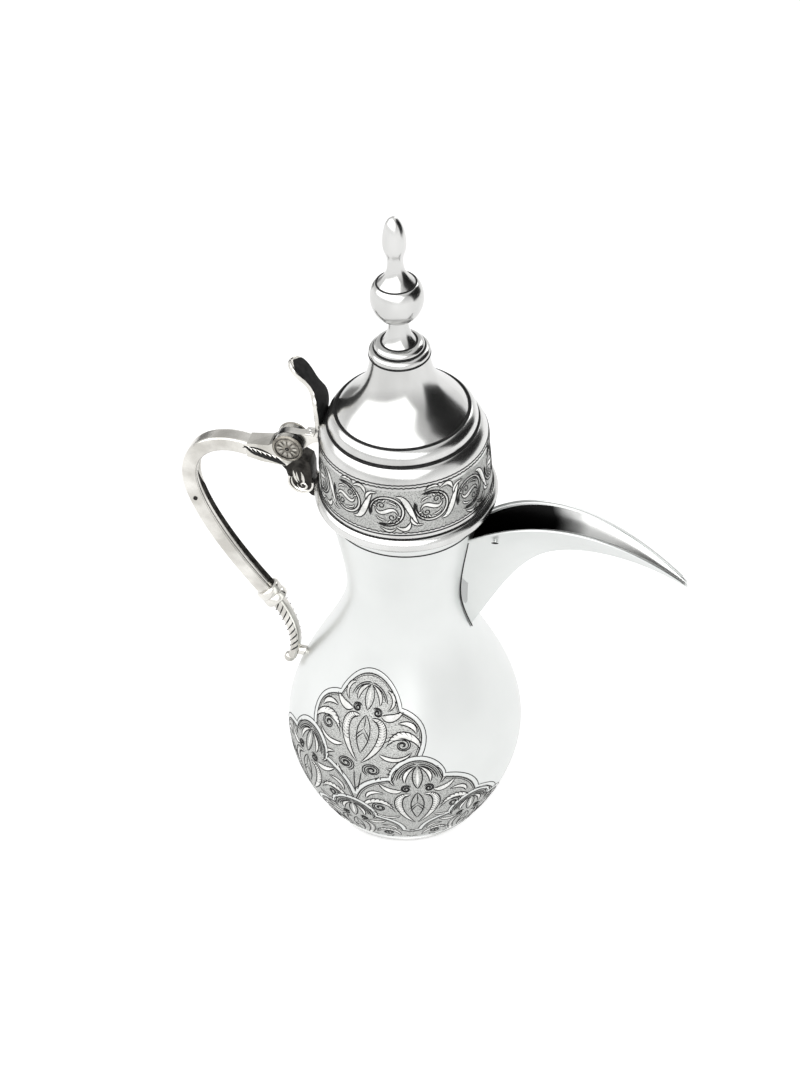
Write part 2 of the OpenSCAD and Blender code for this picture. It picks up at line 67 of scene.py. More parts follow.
def clearSelection():
    if bpy.context.object and bpy.context.object.mode != "OBJECT":
        bpy.ops.object.mode_set(mode="OBJECT")
    bpy.ops.object.select_all(action="DESELECT")


def pickOnly(piece):
    clearSelection()
    piece.select_set(True)
    bpy.context.view_layer.objects.active = piece


def bezierAt(a, b, c, d, t):
    weights = ((1 - t) ** 3, 3 * t * (1 - t) ** 2, 3 * t * t * (1 - t), t ** 3)
    return tuple(sum(w * p[k] for w, p in zip(weights, (a, b, c, d))) for k in range(len(a)))


def bezier(a, b, c, d, steps, first=True):
    return [bezierAt(a, b, c, d, i / steps) for i in range(0 if first else 1, steps + 1)]


def polar(r, angle, cx=0, cy=0):
    return cx + r * math.cos(angle), cy + r * math.sin(angle)


def readOff(table, x):
    # straight-line reading between the pairs of a sorted table
    if x <= table[0][0]:
        return table[0][1]
    for (x1, y1), (x2, y2) in zip(table, table[1:]):
        if x <= x2:
            return y1 + (y2 - y1) * (x - x1) / (x2 - x1) if x2 > x1 else y2
    return table[-1][1]


def editAll(piece, *steps):
    # runs steps in edit mode with everything selected
    pickOnly(piece)
    bpy.ops.object.mode_set(mode="EDIT")
    bpy.ops.mesh.select_all(action="SELECT")
    for step in steps:
        step()
    bpy.ops.object.mode_set(mode="OBJECT")


def faceOut():
    bpy.ops.mesh.select_all(action="SELECT")
    bpy.ops.mesh.normals_make_consistent(inside=False)


def mergeAndClose(piece, holes=True):
    def merge():
        bpy.ops.mesh.remove_doubles(threshold=1e-6)
        if holes:
            bpy.ops.mesh.select_all(action="SELECT")
            bpy.ops.mesh.fill_holes(sides=0)
        bpy.ops.mesh.delete_loose(use_verts=True, use_edges=True, use_faces=False)

    editAll(piece, merge, faceOut)


def addShape(name, kind, **settings):
    clearSelection()
    getattr(bpy.ops.mesh, "primitive_%s_add" % kind)(**settings)
    piece = bpy.context.object
    piece.name = name
    return piece


def turnOnLathe(name, section, faces=144):
    # a ring of points laid out as the section, spun round the pot's axis
    piece = addShape(name, "circle", vertices=len(section), radius=0.01)
    for vert, (r, z) in zip(piece.data.vertices, section):
        vert.co = (r * mm, 0, z * mm)
    editAll(piece, lambda: bpy.ops.mesh.spin(steps=faces, angle=2 * math.pi, center=(0, 0, 0), axis=(0, 0, 1)))
    mergeAndClose(piece, holes=False)
    return piece


def shapeGrid(name, along, around, place, closed=True):
    # a flat grid whose points are moved to place(t, u), with its open ends filled
    piece = addShape(name, "grid", x_subdivisions=along, y_subdivisions=around, size=1)
    for vert in piece.data.vertices:
        vert.co = [v * mm for v in place(vert.co.x + 0.5, vert.co.y + 0.5)]
    mergeAndClose(piece, holes=closed)
    return piece


def curveMesh(name, runs, depth, sides, twist):
    # points and radii of all runs as one bevelled curve, made a mesh
    data = bpy.data.curves.new(name, "CURVE")
    data.dimensions = "3D"
    data.twist_mode = twist
    data.bevel_depth, data.bevel_resolution = depth, sides
    data.use_fill_caps = True
    for run in runs:
        spline = data.splines.new("POLY")
        spline.points.add(len(run) - 1)
        for point, (x, y, z, r) in zip(spline.points, run):
            point.co, point.radius = (x, y, z, 1), r
    piece = bpy.data.objects.new(name, data)
    bpy.context.scene.collection.objects.link(piece)
    pickOnly(piece)
    bpy.ops.object.convert(target="MESH")
    return bpy.context.object


def wireRun(name, runs, sides=2):
    # round wire along lists of points with their radii
    piece = curveMesh(name, [[(x * mm, y * mm, z * mm, r) for x, y, z, r in run] for run in runs],
                      mm, sides, "MINIMUM")
    mergeAndClose(piece, holes=False)
    return piece


def applyModifiers(piece):
    pickOnly(piece)
    for modifier in list(piece.modifiers):
        bpy.ops.object.modifier_apply(modifier=modifier.name)


def makeLeafThin(piece, offset=0):
    thick = piece.modifiers.new("thickness", "SOLIDIFY")
    thick.thickness, thick.offset = 0.1 * mm, offset
    applyModifiers(piece)


def finishPiece(piece, material, replaces=(), angle=40, body="pot", shut=False):
    # shut: drawn on the shut lid, and turned with it to rest
    if shut:
        body = "lid"
        piece.data.transform(shutToRest)
    pickOnly(piece)
    bpy.ops.object.shade_smooth_by_angle(angle=math.radians(angle))
    piece.data.materials.clear()
    piece.data.materials.append(material)
    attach(piece, body)
    if replaces:
        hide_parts(*replaces)
    return piece


# ---- finishes


def addNode(owner, kind, inputs, **settings):
    # inputs are linked where they are sockets, and set where they are values
    node = owner.node_tree.nodes.new("ShaderNode" + kind)
    for key, value in settings.items():
        setattr(node, key, value)
    setInputs(owner, node, inputs)
    return node


def setInputs(owner, node, inputs):
    for socket, value in inputs.items():
        if isinstance(value, bpy.types.NodeSocket):
            owner.node_tree.links.new(value, node.inputs[socket])
        else:
            node.inputs[socket].default_value = value


def addRamp(owner, source, low, dark, high, light):
    ramp = addNode(owner, "ValToRGB", {"Fac": source})
    for stop, position, colour in zip(ramp.color_ramp.elements, (low, high), (dark, light)):
        stop.position, stop.color = position, (*colour, 1)
    return ramp.outputs["Color"]


def startFinish(name):
    material = bpy.data.materials.new(name)
    material.use_nodes = True
    place = addNode(material, "TexCoord", {}).outputs["Object"]
    return material, material.node_tree.nodes["Principled BSDF"], place


def metal(name, light, dark, rough, scale=60, bump=0.05, metallic=1.0, stretch=(1, 1, 1)):
    material, shader, place = startFinish(name)
    mapping = addNode(material, "Mapping", {"Scale": stretch, "Vector": place}).outputs["Vector"]
    noise = addNode(material, "TexNoise", {"Scale": scale, "Detail": 4, "Vector": mapping}).outputs["Fac"]
    gloss = addNode(material, "MapRange", {"To Min": rough[0], "To Max": rough[1], "Value": noise})
    fine = addNode(material, "TexNoise", {"Scale": scale * 12, "Vector": mapping})
    relief = addNode(material, "Bump", {"Strength": bump, "Distance": 0.0002, "Height": fine.outputs["Fac"]})
    setInputs(material, shader, {
        "Metallic": metallic, "Base Color": addRamp(material, noise, 0.35, dark, 0.65, light),
        "Roughness": gloss.outputs["Result"], "Normal": relief.outputs["Normal"]})
    if max(light) < 0.2:
        shader.inputs["Specular IOR Level"].default_value = 0.15
    return material


def paintShadeAlong(material, start, end, dark=(0.012, 0.012, 0.012), cloudSize=0.022):
    # paints shade into a finish: black between two distances from the pot's axis, with a cloudy edge; clean at the
    # end
    shader = material.node_tree.nodes["Principled BSDF"]
    silver = shader.inputs["Base Color"].links[0].from_socket
    place = addNode(material, "TexCoord", {}).outputs["Object"]
    split = addNode(material, "SeparateXYZ", {"Vector": place})
    cloud = addNode(material, "TexNoise", {"Scale": 1.5 / cloudSize, "Vector": place})
    shift = addNode(material, "Math", {0: cloud.outputs["Fac"], 1: cloudSize, 2: split.outputs["X"]},
                    operation="MULTIPLY_ADD")
    edge = addNode(material, "MapRange", {"From Min": start + cloudSize / 2, "From Max": end + cloudSize / 2,
                                          "Value": shift.outputs["Value"]})
    # sockets 6 and 7 are the two colours, and 2 is their mix
    mix = addNode(material, "Mix", {"Factor": edge.outputs["Result"], 6: (*dark, 1), 7: silver}, data_type="RGBA")
    setInputs(material, shader, {"Base Color": mix.outputs[2]})


def stippledMetal(name, light, dark, pitch):
    # punched ground: dark dots in a matt silver field
    material, shader, place = startFinish(name)
    dots = addNode(material, "TexVoronoi", {"Scale": 1 / (pitch * mm), "Vector": place}).outputs["Distance"]
    gloss = addNode(material, "MapRange", {"To Min": 0.55, "To Max": 0.3, "Value": dots})
    relief = addNode(material, "Bump", {"Strength": 0.6, "Distance": 0.0003, "Height": dots})
    setInputs(material, shader, {
        "Metallic": 0.85, "Base Color": addRamp(material, dots, 0.18, dark, 0.46, light),
        "Roughness": gloss.outputs["Result"], "Normal": relief.outputs["Normal"]})
    return material


polished = metal("polishedSilver", (0.745, 0.76, 0.75), (0.70, 0.715, 0.705), (0.30, 0.36),
                 25, 0.02)
lidSilver = metal("lidSilver", (0.70, 0.70, 0.69), (0.48, 0.48, 0.47),
                  (0.16, 0.25), 34, 0.03, stretch=(1, 1, 0.35))
warmSilver = metal("warmSilver", (0.80, 0.785, 0.745), (0.54, 0.525, 0.49),
                   (0.16, 0.28), 90, 0.10)
chasedSilver = metal("chasedSilver", (0.86, 0.86, 0.84), (0.66, 0.66, 0.64),
                     (0.20, 0.34), 300, 0.15)
darkSilver = metal("darkSilver", (0.05, 0.047, 0.043), (0.012, 0.011, 0.01),
                   (0.30, 0.48), 400, 0.30)
# black of the engraved lines, cuts and inlay, and painted shade in the lid's grooves and under its bead
blackenedAndShade = metal("blackenedAndGrooveShade", (0.03, 0.03, 0.03), (0.012, 0.012, 0.012),
                  (0.5, 0.7), 500, 0.2, 0.4)
brass = metal("brassRod", (0.74, 0.58, 0.32), (0.60, 0.46, 0.24), (0.22, 0.36), 200, 0.10)
stippled = stippledMetal("stippledGround", (0.52, 0.525, 0.51), (0.05, 0.05, 0.048), 0.42)
print("finishes ready")


# ---- camera, floor and light

studio = {
    "azimuth": 15, "elevation": 42.5, "distance": 850, "aimHeight": 150,
    "lens": 70.35, "shift": (-0.0046, -0.0124), "floorSize": 9, "glow": 0.52, "room": 1.08,
    "sky": ((0.0, 1.0), (0.5, 1.0), (0.8, 0.66), (1.0, 0.6)),
    # place, width, height, power
    "softBoxes": (((-0.55, -1.05, 1.35), 5.2, 1.9, 58), ((0.5, 1.2, 1.1), 0.6, 0.6, 3)),
    # place, width, height, grey
    "flags": (((0.40, 0.16, 0.385), 0.54, 0.54, 0.004), ((-0.62, 0.55, 0.10), 0.30, 0.5, 0.25)),
}


def setStudio():
    a, e = math.radians(studio["azimuth"]), math.radians(studio["elevation"])
    back = Vector((math.sin(a) * math.cos(e), -math.cos(a) * math.cos(e), math.sin(e)))
    aim = Vector((0, 0, studio["aimHeight"] * mm))

    def turnToAim(piece):
        piece.rotation_euler = (piece.location - aim).to_track_quat("Z", "Y").to_euler()

    clearSelection()
    bpy.ops.object.camera_add(location=aim + back * studio["distance"] * mm)
    camera = bpy.context.object
    turnToAim(camera)
    camera.data.lens = studio["lens"]
    camera.data.sensor_width = 36
    camera.data.shift_x, camera.data.shift_y = studio["shift"]
    camera.data.clip_start, camera.data.clip_end = 0.01, 50
    bpy.context.scene.camera = camera

    floor = addShape("floor", "plane", size=studio["floorSize"], location=(0, 0, cadBox[0].z))
    paint = bpy.data.materials.new("whiteFloor")
    paint.use_nodes = True
    setInputs(paint, paint.node_tree.nodes["Principled BSDF"], {
        "Base Color": (0.84, 0.84, 0.84, 1), "Roughness": 0.9, "Emission Color": (1, 1, 1, 1),
        "Emission Strength": studio["glow"]})
    floor.data.materials.append(paint)

    # white room that turns grey overhead
    world = bpy.data.worlds.new("whiteRoom")
    bpy.context.scene.world = world
    world.use_nodes = True
    split = addNode(world, "SeparateXYZ", {"Vector": addNode(world, "TexCoord", {}).outputs["Generated"]})
    ramp = addNode(world, "ValToRGB", {"Fac": split.outputs["Z"]})
    stops = ramp.color_ramp.elements
    for position, grey in studio["sky"]:
        stop = stops.new(position) if 0 < position < 1 else stops[int(position)]
        stop.color = (grey, grey, grey, 1)
    setInputs(world, world.node_tree.nodes["Background"],
              {"Color": ramp.outputs["Color"], "Strength": studio["room"]})

    # soft boxes that only the bright metal sees: over the left shoulder, and one behind
    for place, width, height, power in studio["softBoxes"]:
        bpy.ops.object.light_add(type="AREA", location=place)
        light = bpy.context.object
        light.data.shape = "RECTANGLE"
        light.data.size, light.data.size_y = width, height
        light.data.energy = power
        light.visible_diffuse = False
        turnToAim(light)

    # cards in the same way: black beside the lid, grey low behind the handle
    for number, (place, width, height, grey) in enumerate(studio["flags"]):
        card = bpy.data.materials.new("flagCard%d" % number)
        card.use_nodes = True
        setInputs(card, card.node_tree.nodes["Principled BSDF"],
                  {"Base Color": (grey, grey, grey, 1), "Specular IOR Level": 0})
        flag = addShape("flag%d" % number, "plane", size=1, location=place)
        flag.scale = (width, height, 1)
        turnToAim(flag)
        flag.data.materials.append(card)
        flag.visible_camera = flag.visible_shadow = flag.visible_diffuse = False

    scene = bpy.context.scene
    scene.view_settings.view_transform = "Standard"
    scene.view_settings.look = "None"


setStudio()
print("studio ready")


# ---- pot body

pot = {
    "footR": 35, "footH": 5.5, "footBand": 2.4, "bellyR": 50.3, "bellyZ": 45, "waistR": 23.9,
    # neckShadowZ: height of the painted shadow line on the neck under the lid's bead
    "waistZ": 124, "mouthZ": 168.2, "mouthR": 30.9, "wall": 1.2, "sink": 0.2, "neckShadowZ": 164.4,
    # strainer: radius, spacing across and up, its lowest hole below the mouth, and the holes of each row
    "holeR": 1.3, "holeStep": (3.25, 6.5), "holeDrop": 37.5, "holeRows": (1, 1, 2, 3),
}


def potOutline():
    p = pot
    rise, neck = p["waistZ"] - p["bellyZ"], p["mouthZ"] - p["waistZ"]
    belly, waist = (p["bellyR"], p["bellyZ"]), (p["waistR"], p["waistZ"])
    low = bezier((p["footR"], 0), (p["footR"] + 6, 0.25 * p["bellyZ"]), (p["bellyR"], 0.6 * p["bellyZ"]),
                 belly, 28)
    up = bezier(belly, (p["bellyR"], p["bellyZ"] + 0.36 * rise), (p["waistR"], p["waistZ"] - 0.31 * rise),
                waist, 40, first=False)
    top = bezier(waist, (p["waistR"], p["waistZ"] + 0.27 * neck),
                 (p["mouthR"] - 2.6, p["mouthZ"] - 0.32 * neck), (p["mouthR"], p["mouthZ"]), 24, first=False)
    return low + up + top


outline = potOutline()
radiusByHeight = [(z, r) for r, z in outline]


def potR(z):
    return readOff(radiusByHeight, z) - pot["sink"]


def onPot(angle, z, out=0.0):
    # point at that angle and height, raised from the sheet by out
    slope = potR(z + 0.5) - potR(z - 0.5)
    along = out / math.hypot(1, slope)
    return (*polar(potR(z) + along, angle), z - along * slope)


def makePotBody():
    skin = [(r - pot["sink"], z) for r, z in outline if z > pot["footH"] + 0.3]
    skin.insert(0, (potR(pot["footH"]), pot["footH"]))
    section = skin + [(r - pot["wall"], z) for r, z in reversed(skin)]
    body = turnOnLathe("bodyShell", section, 180)
    # the strainer behind the spout
    holes = []
    across, up = pot["holeStep"]
    for row, count in enumerate(pot["holeRows"]):
        for i in range(count):
            at = (26, (i - (count - 1) / 2) * across, pot["mouthZ"] - pot["holeDrop"] + up * row)
            holes.append(addShape("hole", "cylinder", vertices=20, radius=pot["holeR"] * mm, depth=20 * mm,
                                  rotation=(0, math.pi / 2, 0), location=[v * mm for v in at]))
    clearSelection()
    for hole in holes:
        hole.select_set(True)
    bpy.context.view_layer.objects.active = holes[0]
    bpy.ops.object.join()
    drill = bpy.context.object
    cut = body.modifiers.new("strainer", "BOOLEAN")
    cut.operation, cut.object, cut.solver = "DIFFERENCE", drill, "EXACT"
    applyModifiers(body)
    bpy.data.objects.remove(drill)
    finishPiece(body, polished, ["pot_body"])

    foot = [(r, z) for r, z in outline if z < pot["footH"] - 0.4]
    inner = pot["footR"] - pot["footBand"]
    foot = [(inner, 0.3), (inner + 0.3, 0), (pot["footR"] - 0.5, 0)] + [(r, max(z, 0.45)) for r, z in foot]
    foot += [(potR(pot["footH"]) + 0.05, pot["footH"] - 0.25), (potR(pot["footH"]) - 0.2, pot["footH"]),
             (inner, pot["footH"])]
    finishPiece(turnOnLathe("footRing", foot, 144), lidSilver, ["foot_band"])


makePotBody()
print("pot body turned")


# ---- engraving: strokes drawn flat, then wrapped on the metal

def arcPoints(cx, cy, r, start, end, steps=16):
    return [polar(r, math.radians(start + (end - start) * i / steps), cx, cy) for i in range(steps + 1)]


def spiralPoints(cx, cy, r, start, turns, steps=26, inner=0.12):
    first, full = math.radians(start), turns * 2 * math.pi
    return [polar(r * (1 - (1 - inner) * i / steps), first + full * i / steps, cx, cy) for i in range(steps + 1)]


def stroke(points, width, taper=True):
    # a line of even width with thin ends
    n = len(points) - 1
    return [(x, y, width * (0.35 if taper and i in (0, n) else 1)) for i, (x, y) in enumerate(points)]


def leaf(points, width, fullness=0.55):
    # a leaf along a line: pointed at both ends, fullest at the given share of its length
    n = len(points) - 1
    made = []
    for i, (x, y) in enumerate(points):
        t = i / n
        side = t / fullness if t < fullness else (1 - t) / (1 - fullness)
        made.append((x, y, max(0.04, width * math.sin(side * math.pi / 2) ** 0.8)))
    return made


def mirrored(strokes):
    return [[(-x, y, w) for x, y, w in one] for one in strokes]


def wrapStrokes(name, strokes, height, surface):
    # flat strokes laid on the surface
    piece = curveMesh(name, [[(x, y, 0, w) for x, y, w in one] for one in strokes], 1, 0, "Z_UP")
    for vert in piece.data.vertices:
        vert.co = [v * mm for v in surface(vert.co.x, vert.co.y, vert.co.z * height)]
    editAll(piece, faceOut)
    return piece


# ---- cartouches on the bulb: widths are measured at unrollR, heights from the top of each one

cartouches = {
    "unrollR": 45, "lineW": 0.25, "leafH": 0.10, "bandW": 0.85, "floorZ": 8.5, "ceilingZ": 99.5,
    # angle from the spout, height of the top, across and up scale, kind
    "places": [(98.7, 99, "large"), (130.3, 66, "small"), (69, 66, "small"),
               (162, 40.3, "low"), (101.4, 40.3, "low"), (40.5, 40.3, "low")],
}
lobes = {
    # half outline from the top notch outwards, with the bulge of the lobe that ends at each point
    "large": [(16.4, -13.3, 0), (24.4, -32, 6.3), (17, -52, 3), (0, -66, 0)],
    "small": [(10.4, -9.6, 0), (24.3, -24, 3.4), (37, -44, 4), (37, -60, 0)],
    "low": [(9.2, -9.2, 0), (20.5, -21, 3.2), (32, -36, 3), (32, -50, 0)],
}


def archPoints(x1, y1, x2, y2, bulge, steps=10):
    # a round lobe between two notches, standing out to the left of its direction
    length = math.hypot(x2 - x1, y2 - y1)
    nx, ny = -(y2 - y1) / length, (x2 - x1) / length
    return [(x1 + (x2 - x1) * t + nx * bulge * 4 * t * (1 - t), y1 + (y2 - y1) * t + ny * bulge * 4 * t * (1 - t))
            for t in [i / steps for i in range(steps + 1)]]


def lobedOutline(kind):
    notch = lobes[kind][0]
    topR = (notch[0] ** 2 + notch[1] ** 2) / (2 * -notch[1])
    start = math.degrees(math.atan2(notch[1] + topR, notch[0]))
    half = arcPoints(0, -topR, topR, 90, start, 12)
    for (x1, y1, _), (x2, y2, bulge) in zip(lobes[kind], lobes[kind][1:]):
        half += archPoints(x1, y1, x2, y2, bulge)[1:]
    return [(-x, y) for x, y in reversed(half[1:])] + half


outlines = {kind: lobedOutline(kind) for kind in lobes}
# each cartouche and its mirror copy
allPlaces = [(math.radians(angle * side), top, kind) for angle, top, kind in cartouches["places"]
             for side in (-1, 1)]
# a lower row lies over the ones above it
rows = {"low": 0, "small": 1, "large": 2}


def insideOutline(kind, x, y):
    if y > 0 or abs(x) > 45:
        return False
    shape = outlines[kind]
    inside = False
    for (xi, yi), (xj, yj) in zip(shape, shape[-1:] + shape[:-1]):
        if (yi > y) != (yj > y) and x < (xj - xi) * (y - yi) / (yj - yi) + xi:
            inside = not inside
    return inside or y < shape[0][1] and abs(x) < abs(shape[0][0])


def angleGap(a, b):
    return (a - b + math.pi) % (2 * math.pi) - math.pi


def coveredBy(angle, z, skip, row):
    # true where a cartouche of a lower row, or a nearer neighbour, lies over that point
    for k, (centre, top, kind) in enumerate(allPlaces):
        if k == skip or rows[kind] > row:
            continue
        gap = angleGap(angle, centre)
        if rows[kind] == row and abs(gap) > abs(angleGap(angle, allPlaces[skip][0])):
            continue
        if insideOutline(kind, gap * cartouches["unrollR"], z - top):
            return True
    return False


def visibleParts(strokes, index, own=True):
    # cuts each stroke where another cartouche covers it, or the foot is reached
    centre, top, kind = allPlaces[index]
    unroll = cartouches["unrollR"]

    def shown(point):
        x, y, _ = point
        return (top + y > cartouches["floorZ"]
                and not coveredBy(centre + x / unroll, top + y, index, rows[kind])
                and (not own or insideOutline(kind, x, y)))

    runs = [list(run) for one in strokes for seen, run in itertools.groupby(one, shown) if seen]
    return [[(x + centre * unroll, top + y, w) for x, y, w in run] for run in runs if len(run) > 1]


def offsetLine(points, by):
    made = []
    for i, (x, y) in enumerate(points):
        x1, y1 = points[max(i - 1, 0)]
        x2, y2 = points[min(i + 1, len(points) - 1)]
        length = math.hypot(x2 - x1, y2 - y1) or 1
        made.append((x - (y2 - y1) / length * by, y + (x2 - x1) / length * by))
    return made


motifScale = {"large": (1.22, 0.92, -2.2), "small": (1, 1, 0), "low": (0.9, 0.95, 0)}


def motif(kind):
    # flower of one cartouche: bright leaves, and the dark lines round and in them
    sx, sy, dy = motifScale[kind]
    w = cartouches["lineW"]
    leaves, lines = [], []

    def put(points, width=None, both=True, full=0.55, edge=True):
        points = [(x * sx, y * sy + dy) for x, y in points]
        if width is None:
            lines.append(stroke(points, w))
            if both:
                lines.extend(mirrored([lines[-1]]))
            return
        made = leaf(points, width * sx, full)
        leaves.append(made)
        if both:
            leaves.extend(mirrored([made]))
        if edge:
            for side in (-1, 1):
                rim = [offsetLine(points, side * (made[i][2] + 0.1))[i] for i in range(len(points))]
                lines.append(stroke(rim, w))
                if both:
                    lines.extend(mirrored([lines[-1]]))

    # bud, its veins and the arch over it
    put(bezier((0, -3), (2.6, -6), (2.6, -11), (0, -14.5), 12))
    put(bezier((0.9, -3.6), (4.2, -5.5), (5.6, -8), (4.8, -11.5), 10), 0.75)
    put(bezier((0, -5), (0, -8), (0, -10), (0, -13), 8), 0.5, both=False, edge=False)
    put(arcPoints(0, -10.4, 7.9, 88, 2, 12))
    put(arcPoints(0, -10.4, 7.1, 84, 8, 12))
    # tendrils beside the arch, and a short leaf over each wing
    put(bezier((8.6, -13), (12, -10), (11, -5.5), (7.6, -4.6), 12), 0.7)
    put(bezier((12.6, -18), (16.5, -17), (19.4, -19), (19.3, -22.4), 12), 0.8)
    for i in range(5):
        a = math.radians(95 - 22 * i)
        put([polar(r, a, 0, -10.4) for r in (5.4, 6.9)])
    # scrolls at the foot of the bud
    put(spiralPoints(4.3, -14.6, 2.3, 150, -1.7, 24))
    put(spiralPoints(4.3, -14.6, 1.7, 150, -1.5, 20))
    # wings
    put(bezier((6, -15.6), (9, -17), (12, -15.5), (14.8, -12.6), 10), 1.15, full=0.35)
    for i in range(5):
        x = 7.2 + 1.3 * i
        put([(x, -16.4 + 0.12 * i * i), (x + 0.5, -15.4 + 0.13 * i * i)])
    # long petals with their hatching
    outer = bezier((2.4, -17.6), (9.6, -17.5), (8.4, -28), (0.6, -38.5), 18)
    put(outer, 1.35, full=0.4)
    for i in range(11):
        x, y = outer[2 + i]
        put(bezier((x - 1.3, y - 0.5), (x - 0.4, y - 1.0), (x + 0.5, y - 0.5), (x + 1.1, y + 0.6), 5))
    # pointed heart between the petals, with its chevrons
    put(bezier((0, -16.6), (3.4, -21), (3.2, -27), (0, -34), 12))
    put([(0, -22.6), (1.7, -25), (3.0, -27.4)])
    put([(0, -24.4), (1.5, -26.6), (2.6, -28.8)])
    put([(0, -17), (0, -20), (0, -22.4)], both=False)
    # fans at the sides
    put(bezier((21, -31), (20.5, -22), (12, -20.5), (9.5, -27), 14), 1.2, full=0.6)
    put(spiralPoints(14.4, -27.3, 3.4, 120, -1.6, 26))
    put(spiralPoints(14.4, -27.3, 2.6, 120, -1.4, 22))
    for i in range(7):
        a = math.radians(35 + 22 * i)
        put([polar(r, a + lean, 14.4, -27.3) for r, lean in ((3.6, 0), (5.0, 0.22), (6.4, 0.55))])
    put(bezier((17.5, -30.5), (15, -35), (10, -35.5), (6.5, -32.5), 10), 0.7, full=0.7)
    if kind == "large":
        # pair of curls below the flower
        put(spiralPoints(4.6, -41, 3.5, 250, -1.9, 30))
        put(spiralPoints(4.6, -41, 2.7, 250, -1.7, 26))
        put(bezier((9, -38.5), (13.5, -39.5), (14.5, -44), (10.5, -47), 12), 0.8)
        put(bezier((9.2, -41.5), (11.5, -41.5), (12, -43.5), (10.5, -45.2), 8))
        put(bezier((7.3, -43.4), (6.5, -49), (3, -54), (0.6, -60), 12), 0.9, full=0.3)
        put(bezier((1.2, -43.5), (1, -48), (0.6, -52), (0.2, -56), 10))
    else:
        put(spiralPoints(20.5, -36.5, 2.6, 60, 1.5, 22))
        put(bezier((24, -31), (27, -35), (28, -40), (27, -46), 10), 1.0)
    return leaves, lines


def onBulb(x, y, out):
    return onPot(x / cartouches["unrollR"], y, out)


def makeCartouches():
    lineParts, leafParts, bandParts = [], [], []
    motifs = {kind: motif(kind) for kind in lobes}
    for index, (centre, top, kind) in enumerate(allPlaces):
        edge = outlines[kind]
        for by, width in ((1.05, 0.19), (-1.05, 0.26), (-1.8, 0.14)):
            lineParts += visibleParts([stroke(offsetLine(edge, by), width, False)], index, own=False)
        bandParts += visibleParts([stroke(edge, cartouches["bandW"], False)], index, own=False)
        leaves, lines = motifs[kind]
        leafParts += visibleParts(leaves, index)
        lineParts += visibleParts(lines, index)
    finishPiece(wrapStrokes("cartoucheBands", bandParts, 0.14, onBulb), polished)
    finishPiece(wrapStrokes("cartoucheLeaves", leafParts, cartouches["leafH"],
                            lambda x, y, out: onBulb(x, y, out + 0.03)), chasedSilver)
    finishPiece(wrapStrokes("cartoucheLines", lineParts, 0.45, lambda x, y, out: onBulb(x, y, out + 0.05)),
                blackenedAndShade)

    # punched ground: only the cells of a fine grid that lie in a cartouche
    ground = addShape("cartoucheGround", "grid", x_subdivisions=300, y_subdivisions=91, size=1)
    lowest, highest = cartouches["floorZ"], cartouches["ceilingZ"]
    editAll(ground, lambda: bpy.ops.mesh.select_all(action="DESELECT"))
    for face in ground.data.polygons:
        angle = 2 * math.pi * face.center.x
        z = lowest + (highest - lowest) * (face.center.y + 0.5)
        inside = any(insideOutline(kind, angleGap(angle, centre) * cartouches["unrollR"], z - top)
                     for centre, top, kind in allPlaces)
        face.select = not inside
    bpy.ops.object.mode_set(mode="EDIT")
    bpy.ops.mesh.delete(type="FACE")
    bpy.ops.object.mode_set(mode="OBJECT")
    for vert in ground.data.vertices:
        z = lowest + (highest - lowest) * (vert.co.y + 0.5)
        vert.co = [v * mm for v in onPot(2 * math.pi * vert.co.x, z, 0.03)]
    mergeAndClose(ground, holes=False)
    makeLeafThin(ground, -1)
    finishPiece(ground, stippled)


makeCartouches()
print("bulb engraved")


# ---- lid, drawn shut and turned to rest at the end of each piece

lid = {
    "lidZ": 168.5, "bandZ": 173.5, "shoulderZ": 198, "ringZ": 206.2, "domeZ": 212.4, "collarZ": 238,
    "bandR": 34.1, "bandTopR": 32.8, "ringR": 28.7, "domeR": 25.4, "collarR": 11.2, "sheet": 0.9,
    "beadRingR": 32.7, "beadWireR": 3.3,
}


def sheetSection(outer):
    t = lid["sheet"]
    return outer + [(r - t, z - 0.75 * t) for r, z in reversed(outer)]


shoulderTop, ringTop = (lid["ringR"], lid["ringZ"]), (lid["domeR"], lid["domeZ"])
shoulderLine = bezier((lid["bandTopR"], lid["shoulderZ"]), (32.6, 202.5), (30.8, 205.5), shoulderTop, 20)
ringLine = bezier(shoulderTop, (29.3, 209.3), (27.8, 211.8), ringTop, 20)
domeLine = bezier(ringTop, (20.8, 219.1), (12.2, 221.6), (lid["collarR"], lid["collarZ"]), 36)


def turnedOnLid(name, section, node, faces=144, angle=40):
    finishPiece(turnOnLathe(name, section, faces), lidSilver, [node], angle=angle, shut=True)


def makeLid():
    wire = [polar(lid["beadWireR"], 2 * math.pi * i / 40, lid["beadRingR"], lid["lidZ"] + lid["beadWireR"])
            for i in range(40)]
    turnedOnLid("lidBead", [(max(r, lid["beadRingR"] - 1.5), z) for r, z in wire], "lid_bead")
    band = [(lid["bandR"] - 0.9, lid["bandZ"]), (lid["bandR"] - 0.2, lid["bandZ"]),
            (lid["bandTopR"] - 0.2, lid["shoulderZ"]), (lid["bandTopR"] - 1.1, lid["shoulderZ"])]
    turnedOnLid("lidBand", band, "lid_band")
    for name, line, node in (("lidShoulder", shoulderLine, "lid_shoulder"), ("lidRing", ringLine, "lid_ring")):
        turnedOnLid(name, sheetSection(line), node)
    inner = [(r - lid["sheet"], z - 0.75 * lid["sheet"]) for r, z in domeLine if z < lid["collarZ"] - 1.6]
    dome = domeLine + [(1.5, 238), (1.5, 236.8), (10.3, 236.8)] + inner[::-1]
    turnedOnLid("lidDome", dome, "lid_dome")


def turnedFinial(name, outer, node):
    turnedOnLid(name, [(1.5, outer[0][1])] + outer + [(1.5, outer[-1][1])], node, 96, 30)


finial = {"stemZ": 243.6, "ballZ": 254, "ballH": 15.6, "spireZ": 269.6, "spireH": 28}


